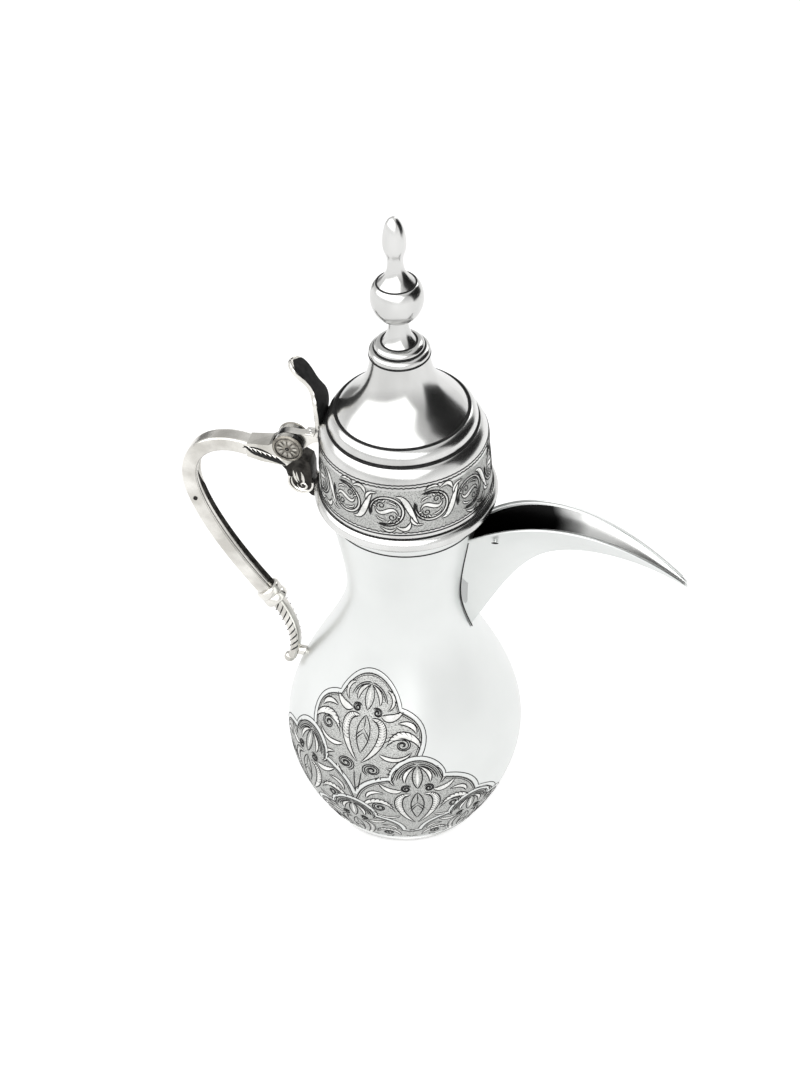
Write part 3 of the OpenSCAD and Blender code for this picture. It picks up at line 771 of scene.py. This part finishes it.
def makeFinial():
    z = lid["collarZ"]
    turnedFinial("finialRings", bezier((11.2, z), (12, z + 1), (11.6, z + 3), (9.6, z + 3.02), 12)
                 + bezier((9.5, z + 3.36), (9.7, z + 4.5), (8.7, z + 5.6), (6.8, z + 5.6), 12), "finial_base")
    z = finial["stemZ"]
    turnedFinial("finialStem", bezier((6.6, z), (4.5, z + 2.6), (3.5, z + 6), (3.9, finial["ballZ"]), 20),
                 "finial_stem")
    z = finial["ballZ"]
    waist = z + 0.58 * finial["ballH"]
    turnedFinial("finialBall", bezier((4.3, z), (7.2, z + 0.47), (10, z + 4.68), (10, waist), 20)
                 + bezier((10, waist), (10, waist + 3.74), (8.7, 269.3), (7.4, finial["spireZ"]), 16, first=False),
                 "finial_ball")
    z, top = finial["spireZ"], finial["spireZ"] + finial["spireH"]
    waist, pear = z + 0.32 * finial["spireH"], z + 0.6 * finial["spireH"]
    outer = bezier((7.3, z), (4.7, z + 2.52), (3, z + 4.76), (3, waist), 18)
    outer += bezier((3, waist), (3, waist + 3.64), (4.45, pear - 3.36), (4.45, pear), 18, first=False)
    outer += bezier((4.45, pear), (4.45, pear + 6.72), (2.225, top), (0, top), 20, first=False)
    section = [(0, z + 5.6), (1.5, z + 5.6), (1.5, z)] + outer
    turnedOnLid("finialSpire", section, "finial_spire", 96, 30)


def seamRing(r, z, width):
    return [polar(width, 2 * math.pi * i / 10, r, z) for i in range(10)]


def makeSeams():
    # painted shade: black lines in the grooves where the turned pieces of the lid meet
    seams = (("seamBead", 34.15, 174.9, 0.22), ("seamRing", 29.0, 206.35, 0.55), ("seamDome", 25.75, 212.45, 0.5),
             ("seamCollar", 11.35, 238.05, 0.4), ("seamStep", 9.7, 241.2, 0.3), ("seamStem", 6.8, 243.65, 0.3),
             ("seamBall", 4.35, 253.95, 0.3), ("seamSpire", 7.35, 269.6, 0.35))
    for name, r, z, width in seams:
        finishPiece(turnOnLathe(name, seamRing(r, z, width), 96), blackenedAndShade, shut=True)


# painted shadow: black line round the neck, just under the lid's bead
def makeNeckShadowLine():
    z = pot["neckShadowZ"]
    finishPiece(turnOnLathe("neckShadowLine", seamRing(potR(z) - 0.2, z, 0.45), 144), blackenedAndShade)


makeLid()
makeFinial()
makeSeams()
makeNeckShadowLine()
print("lid and finial turned")


# ---- scrolling leaves round the lid's band

bandArt = {"unrollR": 33.4, "medallions": 12, "radius": 7.0, "lowZ": 178.4, "highZ": 199.2, "firstAngle": -87,
           # punched field; heights the leaves and the lines keep to; rings: height, wave and width
           "field": (178.2, 199.4), "leafEnds": (178.9, 198.9), "lineEnds": (176.8, 200.8),
           "rings": ((177.0, 0, 0.3), (178.2, 0.24, 0.26), (199.4, 0.24, 0.26), (200.6, 0.1, 0.24))}


def bandR(z):
    if z < lid["shoulderZ"]:
        return readOff([(lid["bandZ"], lid["bandR"]), (lid["shoulderZ"], lid["bandTopR"])], z) - 0.2
    return readOff([(p[1], p[0]) for p in shoulderLine], z)


def onBand(x, z, out):
    angle = x / bandArt["unrollR"]
    return (*polar(bandR(z) + out, angle), z)


def bandMedallion(x, z, flip):
    r = bandArt["radius"]
    leaves, lines = [], []

    def put(points, width=None, full=0.5):
        points = [(x + px, z + flip * py) for px, py in points]
        if width is None:
            lines.append(stroke(points, 0.26))
            return
        made = leaf(points, width, full)
        leaves.append(made)
        for side in (-1, 1):
            rim = [offsetLine(points, side * (made[i][2] + 0.12))[i] for i in range(len(points))]
            lines.append(stroke(rim, 0.24))

    put(arcPoints(0, 0, r, -205, 125, 40))
    put(arcPoints(0, 0, r - 1.2, -195, 110, 36))
    put(arcPoints(0, 0, r - 0.6, -200, 118, 36), 0.42)
    # leaning stem, with a curl and a ribbed fan at each end
    put(bezier((-4.5, -1.8), (-2.6, 5.6), (2.6, -5.6), (4.5, 1.8), 20), 0.85)
    for turn in (1, -1):
        put([(turn * px, turn * py) for px, py in spiralPoints(2.1, 2.6, 1.7, -40, 1.3, 20, 0.2)])
        for i in range(4):
            a = math.radians(-22 + 38 * i)
            put([polar(turn * k, a + 0.14 * k, turn * 2.1, turn * 2.4) for k in (1.9, 2.4, 2.9, 3.4)], 0.42)
        put([(turn * px, turn * py) for px, py in ((-4.3, 2.2), (-3.2, 3.6), (-1.6, 4.3), (0, 4.2))], 0.4)
    # ribbed leaf that links to the next medallion, and small ones over it
    link = bezier((r * 0.5, -r * 1.0), (r * 1.15, -r * 1.1), (r * 1.2, 0), (r * 1.75, r * 0.95), 18)
    put(link, 1.15)
    for i in range(5):
        px, py = link[4 + 2 * i]
        put([(px - 1.0, py + 0.5), (px - 0.1, py - 0.3), (px + 0.8, py + 0.1)])
    put(bezier((r * 0.5, r * 0.98), (r * 0.95, r * 1.35), (r * 1.2, r * 1.2), (r * 1.3, r * 0.7), 12), 0.9)
    put(bezier((r * 0.62, r * 1.0), (r * 0.9, r * 1.15), (r * 1.1, r * 1.05), (r * 1.15, r * 0.8), 8))
    put(bezier((-r * 0.4, r * 1.05), (0, r * 1.4), (r * 0.25, r * 1.4), (r * 0.5, r * 1.1), 8), 0.55)
    put(bezier((-r * 1.1, -r * 0.5), (-r * 1.3, -r * 0.9), (-r * 0.9, -r * 1.25), (-r * 0.5, -r * 1.15), 10), 0.6)
    return leaves, lines


def makeBandArt():
    circle = 2 * math.pi * bandArt["unrollR"]
    step = circle / bandArt["medallions"]
    start = math.radians(bandArt["firstAngle"]) * bandArt["unrollR"]
    leaves, lines = [], []
    middle = (bandArt["lowZ"] + bandArt["highZ"]) / 2 + 0.2
    for i in range(bandArt["medallions"]):
        flip = 1 if i % 2 else -1
        more = bandMedallion(start + i * step, middle + flip * 0.8, flip)
        leaves += more[0]
        lines += more[1]
    count, waves = 240, 60
    for z, wave, width in bandArt["rings"]:
        lines.append([(circle * k / count, z + wave * math.sin(k * 2 * math.pi * waves / count + k), width)
                      for k in range(count + 1)])
    keepLeaves, keepLines = [
        [[(x, min(max(z, low), high), w) for x, z, w in one] for one in strokes]
        for strokes, (low, high) in ((leaves, bandArt["leafEnds"]), (lines, bandArt["lineEnds"]))]
    finishPiece(wrapStrokes("bandLeaves", keepLeaves, 0.2, lambda x, z, out: onBand(x, z, out + 0.03)),
                chasedSilver, shut=True)
    finishPiece(wrapStrokes("bandLines", keepLines, 0.5, lambda x, z, out: onBand(x, z, out + 0.06)),
                blackenedAndShade, shut=True)
    low, high = bandArt["field"]
    heights = [low + (high - low) * i / 12 for i in range(13)]
    section = [(bandR(z) + 0.05, z) for z in heights] + [(bandR(z) - 0.1, z) for z in reversed(heights)]
    finishPiece(turnOnLathe("bandGround", section), stippled, shut=True)


makeBandArt()
print("lid band engraved")


# ---- spout

spout = {
    "rows": 72, "columns": 24, "sheet": 1.2, "halfW": 9.4, "reach": 114.1, "rootDrop": 20.1, "rimDrop": 10.2,
    "tipDrop": 20.9, "rimWire": 0.62, "rootShare": 0.79, "tipHalf": 1.6, "keelLift": 0.06,
}


def spoutLines():
    keelRoot = (readOff(radiusByHeight, pot["waistZ"] - spout["rootDrop"]), pot["waistZ"] - spout["rootDrop"])
    rimRoot = (readOff(radiusByHeight, pot["mouthZ"] - spout["rimDrop"]), pot["mouthZ"] - spout["rimDrop"])
    tip = (spout["reach"], pot["mouthZ"] - spout["tipDrop"])
    bend = (0.32 * spout["reach"] + 0.68 * keelRoot[0], pot["mouthZ"] - 16.8)
    return keelRoot, rimRoot, tip, bend


keelRoot, rimRoot, spoutTip, keelBend = spoutLines()


def keelAt(t):
    s = 2 * t ** 0.9
    if s < 1:
        return bezierAt(keelRoot, (keelRoot[0] + 7, keelRoot[1] + 15), (keelBend[0] - 12, keelBend[1] - 8.5),
                        keelBend, s)
    return bezierAt(keelBend, (keelBend[0] + 13, keelBend[1] + 9.4), (spoutTip[0] - 20, spoutTip[1] + 11),
                    spoutTip, s - 1)


def rimAt(t):
    return bezierAt(rimRoot, (rimRoot[0] + 14, rimRoot[1] + 15),
                    (0.5 * (rimRoot[0] + spoutTip[0]) + 1, pot["mouthZ"] + 14.4),
                    (spoutTip[0] - 0.9, spoutTip[1] + 2.5), t)


def spoutPoint(t, u, inside=False):
    half = bezierAt(*[(share * spout["halfW"],) for share in (spout["rootShare"], 1.22, 0.78)],
                    (spout["tipHalf"],), t)[0]
    inset = spout["sheet"] if inside else 0
    keel, rim = keelAt(t), rimAt(t)
    depth = math.dist(keel, rim)
    raised = spout["keelLift"] if inside else 0
    lift = inset / depth + raised
    foot = (keel[0] + (rim[0] - keel[0]) * lift, keel[1] + (rim[1] - keel[1]) * lift)
    a = abs(u)
    side = (1 if u > 0 else -1) * a ** 1.25
    x, z = foot[0] + (rim[0] - foot[0]) * a, foot[1] + (rim[1] - foot[1]) * a
    rootDepth = math.dist(keelRoot, rimRoot)
    lift = inset / rootDepth + raised
    root = (keelRoot[0] + (rimRoot[0] - keelRoot[0]) * lift, keelRoot[1] + (rimRoot[1] - keelRoot[1]) * lift)
    rx, rz = root[0] + (rimRoot[0] - root[0]) * a, root[1] + (rimRoot[1] - root[1]) * a
    neckX = math.sqrt((potR(rz) - 0.15) ** 2 - (side * (spout["rootShare"] * spout["halfW"] - inset)) ** 2)
    return (x + (neckX - rx) * (1 - t) ** 5, side * (half - inset), z)


def makeSpout():
    # shares of the loop taken by the outside, and by each rim
    outerShare, rimShare = 0.49, 0.01

    def place(t, u):
        # one closed loop: over the outside, round one rim, back along the inside
        if u <= outerShare:
            return spoutPoint(t, 2 * u / outerShare - 1)
        if u >= 1 - rimShare:
            return spoutPoint(t, -1)
        return spoutPoint(t, 1 - 2 * (u - 0.5) / outerShare if u >= 0.5 else 1, inside=True)

    piece = shapeGrid("spoutSheet", spout["rows"], 2 * spout["columns"] + 2, place)
    finishPiece(piece, polished, ["spout"], angle=35)
    # painted shade: the channel is black towards the neck
    lining = shapeGrid("spoutLining", 60, 20, lambda t, u: liningPoint(t, 2 * u - 1), closed=False)
    makeLeafThin(lining)
    finishPiece(lining, channelSilver, angle=35)
    rims = []
    for side in (-1, 1):
        rims.append([(*spoutPoint(i / 60, side), spout["rimWire"] * (1 - 0.4 * i / 60)) for i in range(60)])
    piece = wireRun("spoutRims", rims)
    finishPiece(piece, polished)
    # worn slots over the rivets
    slots = []
    for side in (-1, 1):
        heads = [v.co / mm for v in frame["nodes"]["spout_rivets"].data.vertices if v.co.y * side > 0]
        x, y, z = [sum(v[k] for v in heads) / len(heads) for k in range(3)]
        y = side * max(abs(v.y) for v in heads)
        slots.append([(x - 1.4 + 0.7 * i, y + side * 0.1, z + 0.1 * i, 0.42 * math.sin(math.pi * (i + 0.5) / 5))
                      for i in range(5)])
    finishPiece(wireRun("rivetSlots", slots, 1), blackenedAndShade)
    root = [(*spoutPoint(0.004, -1 + 2 * i / 40), 0.28) for i in range(41)]
    finishPiece(wireRun("spoutSeam", [root]), blackenedAndShade)


def liningPoint(t, u):
    # just inside the inner wall of the spout
    x, y, z = spoutPoint(0.002 + 0.985 * t, u * 0.97, inside=True)
    return x, y * 0.985, z + 0.12


# painted shade: bright at the tip, black from the bend to the neck
channelSilver = metal("channelSilver", (0.80, 0.805, 0.80), (0.72, 0.72, 0.71), (0.2, 0.3),
                      40, 0.03)
paintShadeAlong(channelSilver, 0.057, 0.072)
makeSpout()
print("spout raised")


# ---- handle

handle = {
    "gripT": 6.6, "gripW": 7, "round": 1.1, "flute": 0.9, "reach": 89, "lugZ": 71, "ferruleR": 5.4, "ferruleH": 8,
    "ballR": 2.4, "barDir": (0.63, -0.777), "taper": 0.6, "tailEndT": 3.6, "edgeR": 1.3,
    # where the grip starts, back and down from the hinge, and how far its shoulder is below the hinge
    "start": (17.2, 5.2), "shoulderDrop": 25,
}


def handleLines():
    lugR = readOff(radiusByHeight, handle["lugZ"])
    top = (hinge[0] - handle["start"][0], hinge[2] - handle["start"][1])
    shoulder = (-handle["reach"], hinge[2] - handle["shoulderDrop"])
    ferrule = (-lugR - 13.4, handle["lugZ"] + 31)
    dx, dz = handle["barDir"]
    grip = bezier(top, (top[0] - 12.5, top[1] + 2.8), (shoulder[0], shoulder[1] + 16.5), shoulder, 24)
    grip += bezier(shoulder, (shoulder[0], shoulder[1] - 12), (ferrule[0] - 32 * dx, ferrule[1] - 32 * dz),
                   ferrule, 30, first=False)
    end = (-lugR - 5.5, handle["lugZ"] - 3.6)
    tail = bezier(ferrule, (ferrule[0] + 10 * dx, ferrule[1] + 10 * dz), (-lugR - 0.9, handle["lugZ"] + 9.5),
                  end, 26)
    return grip, tail, ferrule, end


gripPath, tailPath, ferruleAt, tailEnd = handleLines()


def pathFrame(path, t):
    # place and direction at a share of the path's points
    s = min(max(t, 0), 1) * (len(path) - 1)
    i = min(int(s), len(path) - 2)
    f = s - i
    x = path[i][0] + (path[i + 1][0] - path[i][0]) * f
    z = path[i][1] + (path[i + 1][1] - path[i][1]) * f
    a, b = path[max(i - 1, 0)], path[min(i + 2, len(path) - 1)]
    length = math.dist(a, b)
    return x, z, (b[0] - a[0]) / length, (b[1] - a[1]) / length


def roundedBox(u, w, h, r):
    # point at share u round a box section with rounded corners
    straights = (w - 2 * r, h - 2 * r) * 2
    quarter = math.pi * r / 2
    s = (u % 1) * (sum(straights) + 4 * quarter)
    x, y = -straights[0] / 2, h / 2
    for side, length in enumerate(straights):
        heading = math.radians(-90 * side)
        dx, dy = math.cos(heading), math.sin(heading)
        if s <= length:
            return x + dx * s, y + dy * s
        s -= length
        cx, cy = x + dx * length + dy * r, y + dy * length - dx * r
        if s <= quarter:
            return polar(r, heading + math.pi / 2 - s / r, cx, cy)
        s -= quarter
        x, y = cx + r * dx, cy + r * dy
    return x, y


def offPath(place, across, up):
    # point beside a place on a path: across the pot's middle plane, and up from the path
    x, z, dx, dz = place
    return x - dz * up, across, z + dx * up


def fluteDepth(across):
    return handle["flute"] * max(0, 1 - (across / (handle["gripW"] / 2 - 1)) ** 2)


def tailSize(t):
    # width and height of the tail, thinner towards its end
    start = handle["gripT"] - 1
    return (handle["gripW"] - 1) * (1 - 0.15 * t), start + (handle["tailEndT"] - start) * t


def makeHandle():
    def gripPlace(t, u):
        w, h = handle["gripW"], handle["gripT"] - handle["taper"] * t
        a, b = roundedBox(u, w, h, handle["round"])
        # shallow flute down the side that faces the pot
        if b > h / 2 - 0.1:
            b -= fluteDepth(a)
        return offPath(pathFrame(gripPath, t), a, b)

    piece = shapeGrid("handleGrip", 110, 36, gripPlace)
    finishPiece(piece, warmSilver, ["handle_grip"], angle=50)

    def shade(t, u):
        # painted dark reflection lying in the flute, on its far half
        s = 0.44 + 0.555 * t
        h = handle["gripT"] - handle["taper"] * s
        a = 0.8 + 1.8 * u * min(1, 0.1 + 4 * t)
        return offPath(pathFrame(gripPath, s), a, h / 2 - fluteDepth(a) + 0.06)

    piece = shapeGrid("gripShade", 80, 6, shade, closed=False)
    makeLeafThin(piece)
    finishPiece(piece, darkSilver, angle=50)

    def tailPlace(t, u):
        w, h = tailSize(t)
        return offPath(pathFrame(tailPath, t), *roundedBox(u, w, h, min(h, w) * 0.36))

    piece = shapeGrid("handleTail", 60, 32, tailPlace)
    finishPiece(piece, warmSilver, ["handle_tail"], angle=50)
    # leaf chased on the tail: slanting cuts on both sides and the back
    cuts = []
    for i in range(9):
        t = 0.16 + 0.085 * i
        x, z, dx, dz = pathFrame(tailPath, t)
        w, h = [size / 2 for size in tailSize(t)]
        for side in (-1, 1):
            def cutPoint(along, across, up, width):
                return (x + dx * along - dz * up, side * across, z + dz * along + dx * up, width)

            def sideCut(s):
                return cutPoint(3.6 * s - 1.8, w - 0.02 - 0.25 * abs(s - 0.5), h * (0.86 - 1.5 * s),
                                0.34 * math.sin(math.pi * (0.12 + 0.76 * s)))

            def backCut(s):
                return cutPoint(1.8 * s - 0.6, w * (0.05 + 0.75 * (1 - s)), 0.02 + 0.1 * s - h,
                                0.32 * math.sin(math.pi * (0.15 + 0.7 * s)))

            cuts += [[sideCut(k / 6) for k in range(7)], [backCut(k / 5) for k in range(6)]]
    finishPiece(wireRun("tailCuts", cuts, 1), blackenedAndShade)

    # ferrule: a rounded collar along the bar
    dx, dz = handle["barDir"]
    r, h = handle["ferruleR"], handle["ferruleH"]
    edge = handle["edgeR"]
    section = [(0, -h / 2), (r - edge, -h / 2)] + arcPoints(r - edge, -h / 2 + edge, edge, -75, 0, 5)
    section += [(r - 0.25, -0.6), (r - 0.75, 0), (r - 0.25, 0.6)]
    section += arcPoints(r - edge, h / 2 - edge, edge, 0, 75, 5) + [(r - edge, h / 2), (0, h / 2)]
    collar = turnOnLathe("ferrule", section, 64)
    place = Matrix.Translation((ferruleAt[0] * mm, 0, ferruleAt[1] * mm)) @ Matrix.Rotation(
        math.atan2(dx, dz), 4, "Y")
    collar.data.transform(place)
    finishPiece(collar, warmSilver, ["handle_ferrule"])

    at = (tailEnd[0] - 0.66 * handle["ballR"], 0, tailEnd[1] - 0.75 * handle["ballR"])
    ball = addShape("tailBall", "uv_sphere", segments=36, ring_count=20, radius=handle["ballR"] * mm)
    for vert in ball.data.vertices:
        # a little flat, as the frame's own ball
        vert.co.z *= 0.98
    ball.data.transform(Matrix.Translation([v * mm for v in at]))
    finishPiece(ball, warmSilver, ["handle_ball"])


makeHandle()
print("handle bent")


# ---- hinge: leaves on the fork, rosettes and scrolls

hingeWork = {"forkHalf": 3.95, "rosetteR": 6.2, "rosetteT": 1.0, "bracketHalf": 3.65}


def onSide(side, half):
    # flat drawing on the face at y = side * half, seen from that side
    return lambda x, z, out: (x, side * (half + out), z)


def sideName(side):
    return "Left" if side > 0 else "Right"


def softenedCopy(node, name, width):
    # the frame's own shape with its edges eased
    piece = frame["nodes"][node].copy()
    piece.data = piece.data.copy()
    piece.name = name
    piece.parent = None
    for key in list(piece.keys()):
        del piece[key]
    bpy.context.scene.collection.objects.link(piece)
    editAll(piece, lambda: bpy.ops.mesh.remove_doubles(threshold=2e-6),
            lambda: bpy.ops.mesh.dissolve_limited(angle_limit=math.radians(3)))
    ease = piece.modifiers.new("eased", "BEVEL")
    ease.width, ease.segments = width * mm, 3
    ease.limit_method, ease.angle_limit = "ANGLE", math.radians(30)
    applyModifiers(piece)
    return piece


def leafAt(x, z, a, b, c, d, steps, width):
    # a leaf along a curve that is measured from (x, z)
    return leaf([(x + px, z + pz) for px, pz in bezier(a, b, c, d, steps)], width)


def makeFork():
    hx, hz = hinge[0], hinge[2]
    gripStart = hx - handle["start"][0]
    cast = softenedCopy("hinge_fork", "forkCast", 0.4)
    for vert in cast.data.vertices:
        # flush with the grip where it starts
        vert.co.y *= readOff([(gripStart, 0.9), (hx - 10, 1)], vert.co.x / mm)
    finishPiece(cast, forkSilver, ["hinge_fork"])
    finishPiece(softenedCopy("scroll_bracket", "bracketCast", 0.35), darkSilver, ["scroll_bracket"])
    finishPiece(softenedCopy("lid_arm", "armCast", 0.35), armSilver, ["lid_arm"], body="lid")
    cuts, leaves = [], []
    for i in range(7):
        x0, z0 = hx - 18.5 + 2.0 * i, hz - 3.4 - 0.42 * i
        cuts.append(leafAt(x0, z0, (0, 0), (2.4, -0.3), (3, -2.2), (5.6, -3.6), 10, 0.78 + 0.04 * i))
        leaves.append(leafAt(x0, z0, (1.2, 0.4), (3.4, 0), (4, -2), (6.2, -3), 10, 0.4))
    # long cut along the top of the chasing, and one under the barrel
    cuts.append(leafAt(hx, hz, (-19, -4.4), (-14, -2.2), (-9, -3.6), (-5.6, -6), 14, 0.45))
    cuts.append(leafAt(hx, hz, (-6.2, -5.4), (-5, -7.6), (-3, -8.6), (-1, -8.7), 12, 0.5))
    for side in (-1, 1):
        def surface(x, z, out, side=side):
            half = readOff([(gripStart, handle["gripW"] / 2 + 0.12), (hx - 10, hingeWork["forkHalf"])], x)
            return (x, side * (half + out), max(min(z, hz - 1), hz - 9.6))
        finishPiece(wrapStrokes("forkCuts" + sideName(side), cuts, 0.45, surface), blackenedAndShade)
        finishPiece(wrapStrokes("forkLeaves" + sideName(side), leaves, 0.8, surface), warmSilver)


def makeRosettes():
    r, t = hingeWork["rosetteR"], hingeWork["rosetteT"]
    for side, node in ((1, "rosette_left"), (-1, "rosette_right")):
        section = [(0, 0), (r - 0.2, 0), (r, 0.25), (r, 0.55 * t), (r - 0.5, t), (r - 1.0, t),
                   (r - 1.25, t - 0.3), (r - 1.6, t - 0.3), (r - 2.0, t - 0.1), (2.0, t - 0.25),
                   (1.5, t - 0.05), (0.9, t), (0, t)]
        disc = turnOnLathe("rosette" + sideName(side), section, 72)
        turn = Matrix.Rotation(math.radians(-90 * side), 4, "X")
        place = Matrix.Translation([v * mm for v in (hinge[0], side * hingeWork["forkHalf"], hinge[2])])
        disc.data.transform(place @ turn)
        finishPiece(disc, rosetteSilver, [node], angle=30)
        petals, dots = [], []
        for i in range(10):
            a = 2 * math.pi * i / 10
            petals.append(leaf([polar(k, a, hinge[0], hinge[2]) for k in (1.7, 2.3, 3.0, 3.6, 4.3)], 0.62))
            dots.append(stroke([polar(k, a + math.pi / 10, hinge[0], hinge[2]) for k in (2.4, 3.3, 4.4)], 0.2))
        dots.append(stroke(arcPoints(hinge[0], hinge[2], 5.0, 0, 360, 40), 0.16, False))
        dots.append(stroke(arcPoints(hinge[0], hinge[2], 0.55, 0, 360, 12), 0.5, False))
        surface = onSide(side, hingeWork["forkHalf"] + t - 0.15)
        finishPiece(wrapStrokes("rosettePetals" + sideName(side), petals, 0.5, surface), petalSilver)
        finishPiece(wrapStrokes("rosetteCuts" + sideName(side), dots, 0.8, surface), blackenedAndShade)


def makeBracketScrolls():
    cx, cz = hinge[0] + 4.6, pot["mouthZ"] + 1.7
    # leaves of the scroll, measured from its middle
    bends = (((-2.9, 5.6), (-2.6, 3.2), (-2.4, 1.2), (-1.0, -0.4), 12, 0.55),
             ((-1.6, 5.2), (-1.5, 3.2), (-1.3, 1.6), (-0.5, 0.4), 12, 0.4),
             ((0.2, 5.4), (1.4, 3.4), (0.6, 1.0), (1.8, -1.2), 14, 0.6),
             ((-3.4, 2.6), (-5.0, -2.6), (-0.6, -5.4), (3.2, -3.2), 16, 0.5))
    lights = [leafAt(cx, cz, *bend) for bend in bends]
    lights.insert(3, leaf(spiralPoints(cx + 0.9, cz - 1.4, 2.3, 170, 1.2, 24, 0.2), 0.42, 0.4))
    for side in (-1, 1):
        surface = onSide(side, hingeWork["bracketHalf"])
        piece = wrapStrokes("bracketScrolls" + sideName(side), lights, 0.7, surface)
        finishPiece(piece, warmSilver)
    # bright wire round the foot of the scroll, from side to side
    rings = [[(x, y, z, 0.55) for x, z in arcPoints(cx, cz, 5.0, 150, 370, 30)] for y in (-3.4, 3.4)]
    finishPiece(wireRun("bracketRims", rings), warmSilver)


# painted shade: the barrel's pot side is black, and the lid arm where it wraps the barrel
forkSilver = metal("forkSilver", (0.70, 0.685, 0.64), (0.50, 0.485, 0.45), (0.16, 0.28), 90, 0.10)
armSilver = metal("armSilver", (0.80, 0.785, 0.745), (0.54, 0.525, 0.49), (0.16, 0.28), 90, 0.10)
paintShadeAlong(forkSilver, (hinge[0] + 2.4) * mm, (hinge[0] - 0.6) * mm, cloudSize=0.002)
paintShadeAlong(armSilver, (hinge[0] - 2.5) * mm, (hinge[0] + 1) * mm, cloudSize=0.002)
petalSilver = metal("petalSilver", (0.52, 0.50, 0.46), (0.26, 0.25, 0.22), (0.24, 0.36), 500, 0.2)
rosetteSilver = metal("rosetteSilver", (0.34, 0.32, 0.28), (0.13, 0.12, 0.105), (0.28, 0.42),
                      500, 0.3)
makeFork()
makeRosettes()
makeBracketScrolls()
print("hinge chased")


# ---- thumb piece

thumb = {"sheet": 2.0, "inlayShare": 0.93, "foot": (-lid["bandTopR"] - 2.2, hinge[2] + 6.2)}
thumbLine = [(thumb["foot"][0] + x, thumb["foot"][1] + z)
             for x, z in ((0, 0), (5.5, 14.5), (2.2, 26), (-8.6, 34.4))]


def thumbPlace(t):
    x, z = bezierAt(*thumbLine, t)
    x2, z2 = bezierAt(*thumbLine, t + 0.01)
    length = math.hypot(x2 - x, z2 - z)
    return x, z, (x2 - x) / length, (z2 - z) / length


thumbWidths = [(0, 2.6), (0.06, 3.2), (0.16, 5.4), (0.28, 7.1), (0.38, 7.4), (0.48, 6.6), (0.58, 4.6), (0.66, 3.8),
               (0.74, 4.3), (0.84, 5.1), (0.91, 4.9), (0.96, 3.7), (0.985, 2.3), (1.0, 0.4)]


def smoothRead(table, x):
    # reading with its kinks rounded off
    return sum(readOff(table, x + d) for d in (-0.035, -0.02, 0, 0.02, 0.035)) / 5


def makeThumbPiece():
    def place(t, u):
        half = max(smoothRead(thumbWidths, t) if t < 0.95 else readOff(thumbWidths, t), 0.4)
        return offPath(thumbPlace(t), *roundedBox(u, 2 * half, thumb["sheet"], min(0.55, half * 0.9)))

    piece = shapeGrid("thumbPlate", 90, 44, place)
    finishPiece(piece, warmSilver, ["thumb_piece"], angle=40, shut=True)

    def inlay(t, u):
        s = 0.05 + 0.925 * t
        half = smoothRead(thumbWidths, s) * thumb["inlayShare"] * min(1, 0.3 + 8 * t, 0.25 + 12 * (1 - t))
        a = math.cos(2 * math.pi * u) * half
        return offPath(thumbPlace(s), a, -thumb["sheet"] / 2 - 0.02 + math.sin(2 * math.pi * u) * 0.12)

    piece = shapeGrid("thumbFace", 70, 24, inlay)
    finishPiece(piece, blackenedAndShade, angle=50, shut=True)
    # foot tab under the bead rivets
    tab = addShape("thumbFoot", "cube", size=1)
    middle, size = (thumb["foot"][0] - 2.1, 0, thumb["foot"][1] + 0.4), (4.6, 4.8, 0.8)
    for vert in tab.data.vertices:
        vert.co = [(m + s * v) * mm for m, s, v in zip(middle, size, vert.co)]
    soft = tab.modifiers.new("edges", "BEVEL")
    soft.width, soft.segments = 0.3 * mm, 3
    applyModifiers(tab)
    finishPiece(tab, warmSilver, shut=True)


makeThumbPiece()
print("thumb piece ready")


# ---- finishes of the frame's own pieces that stay

kept = {
    "base_disc": polished, "mouth_ring": polished, "spout_rivets": polished, "handle_cross_pin": darkSilver,
    "handle_lug": warmSilver, "hinge_pin": brass,
    "lid_flange": lidSilver, "finial_rod": brass, "finial_washer": brass, "finial_nut": brass,
    "thumb_rivets": lidSilver,
}
for node, material in kept.items():
    frame["nodes"][node].data.materials.clear()
    frame["nodes"][node].data.materials.append(material)
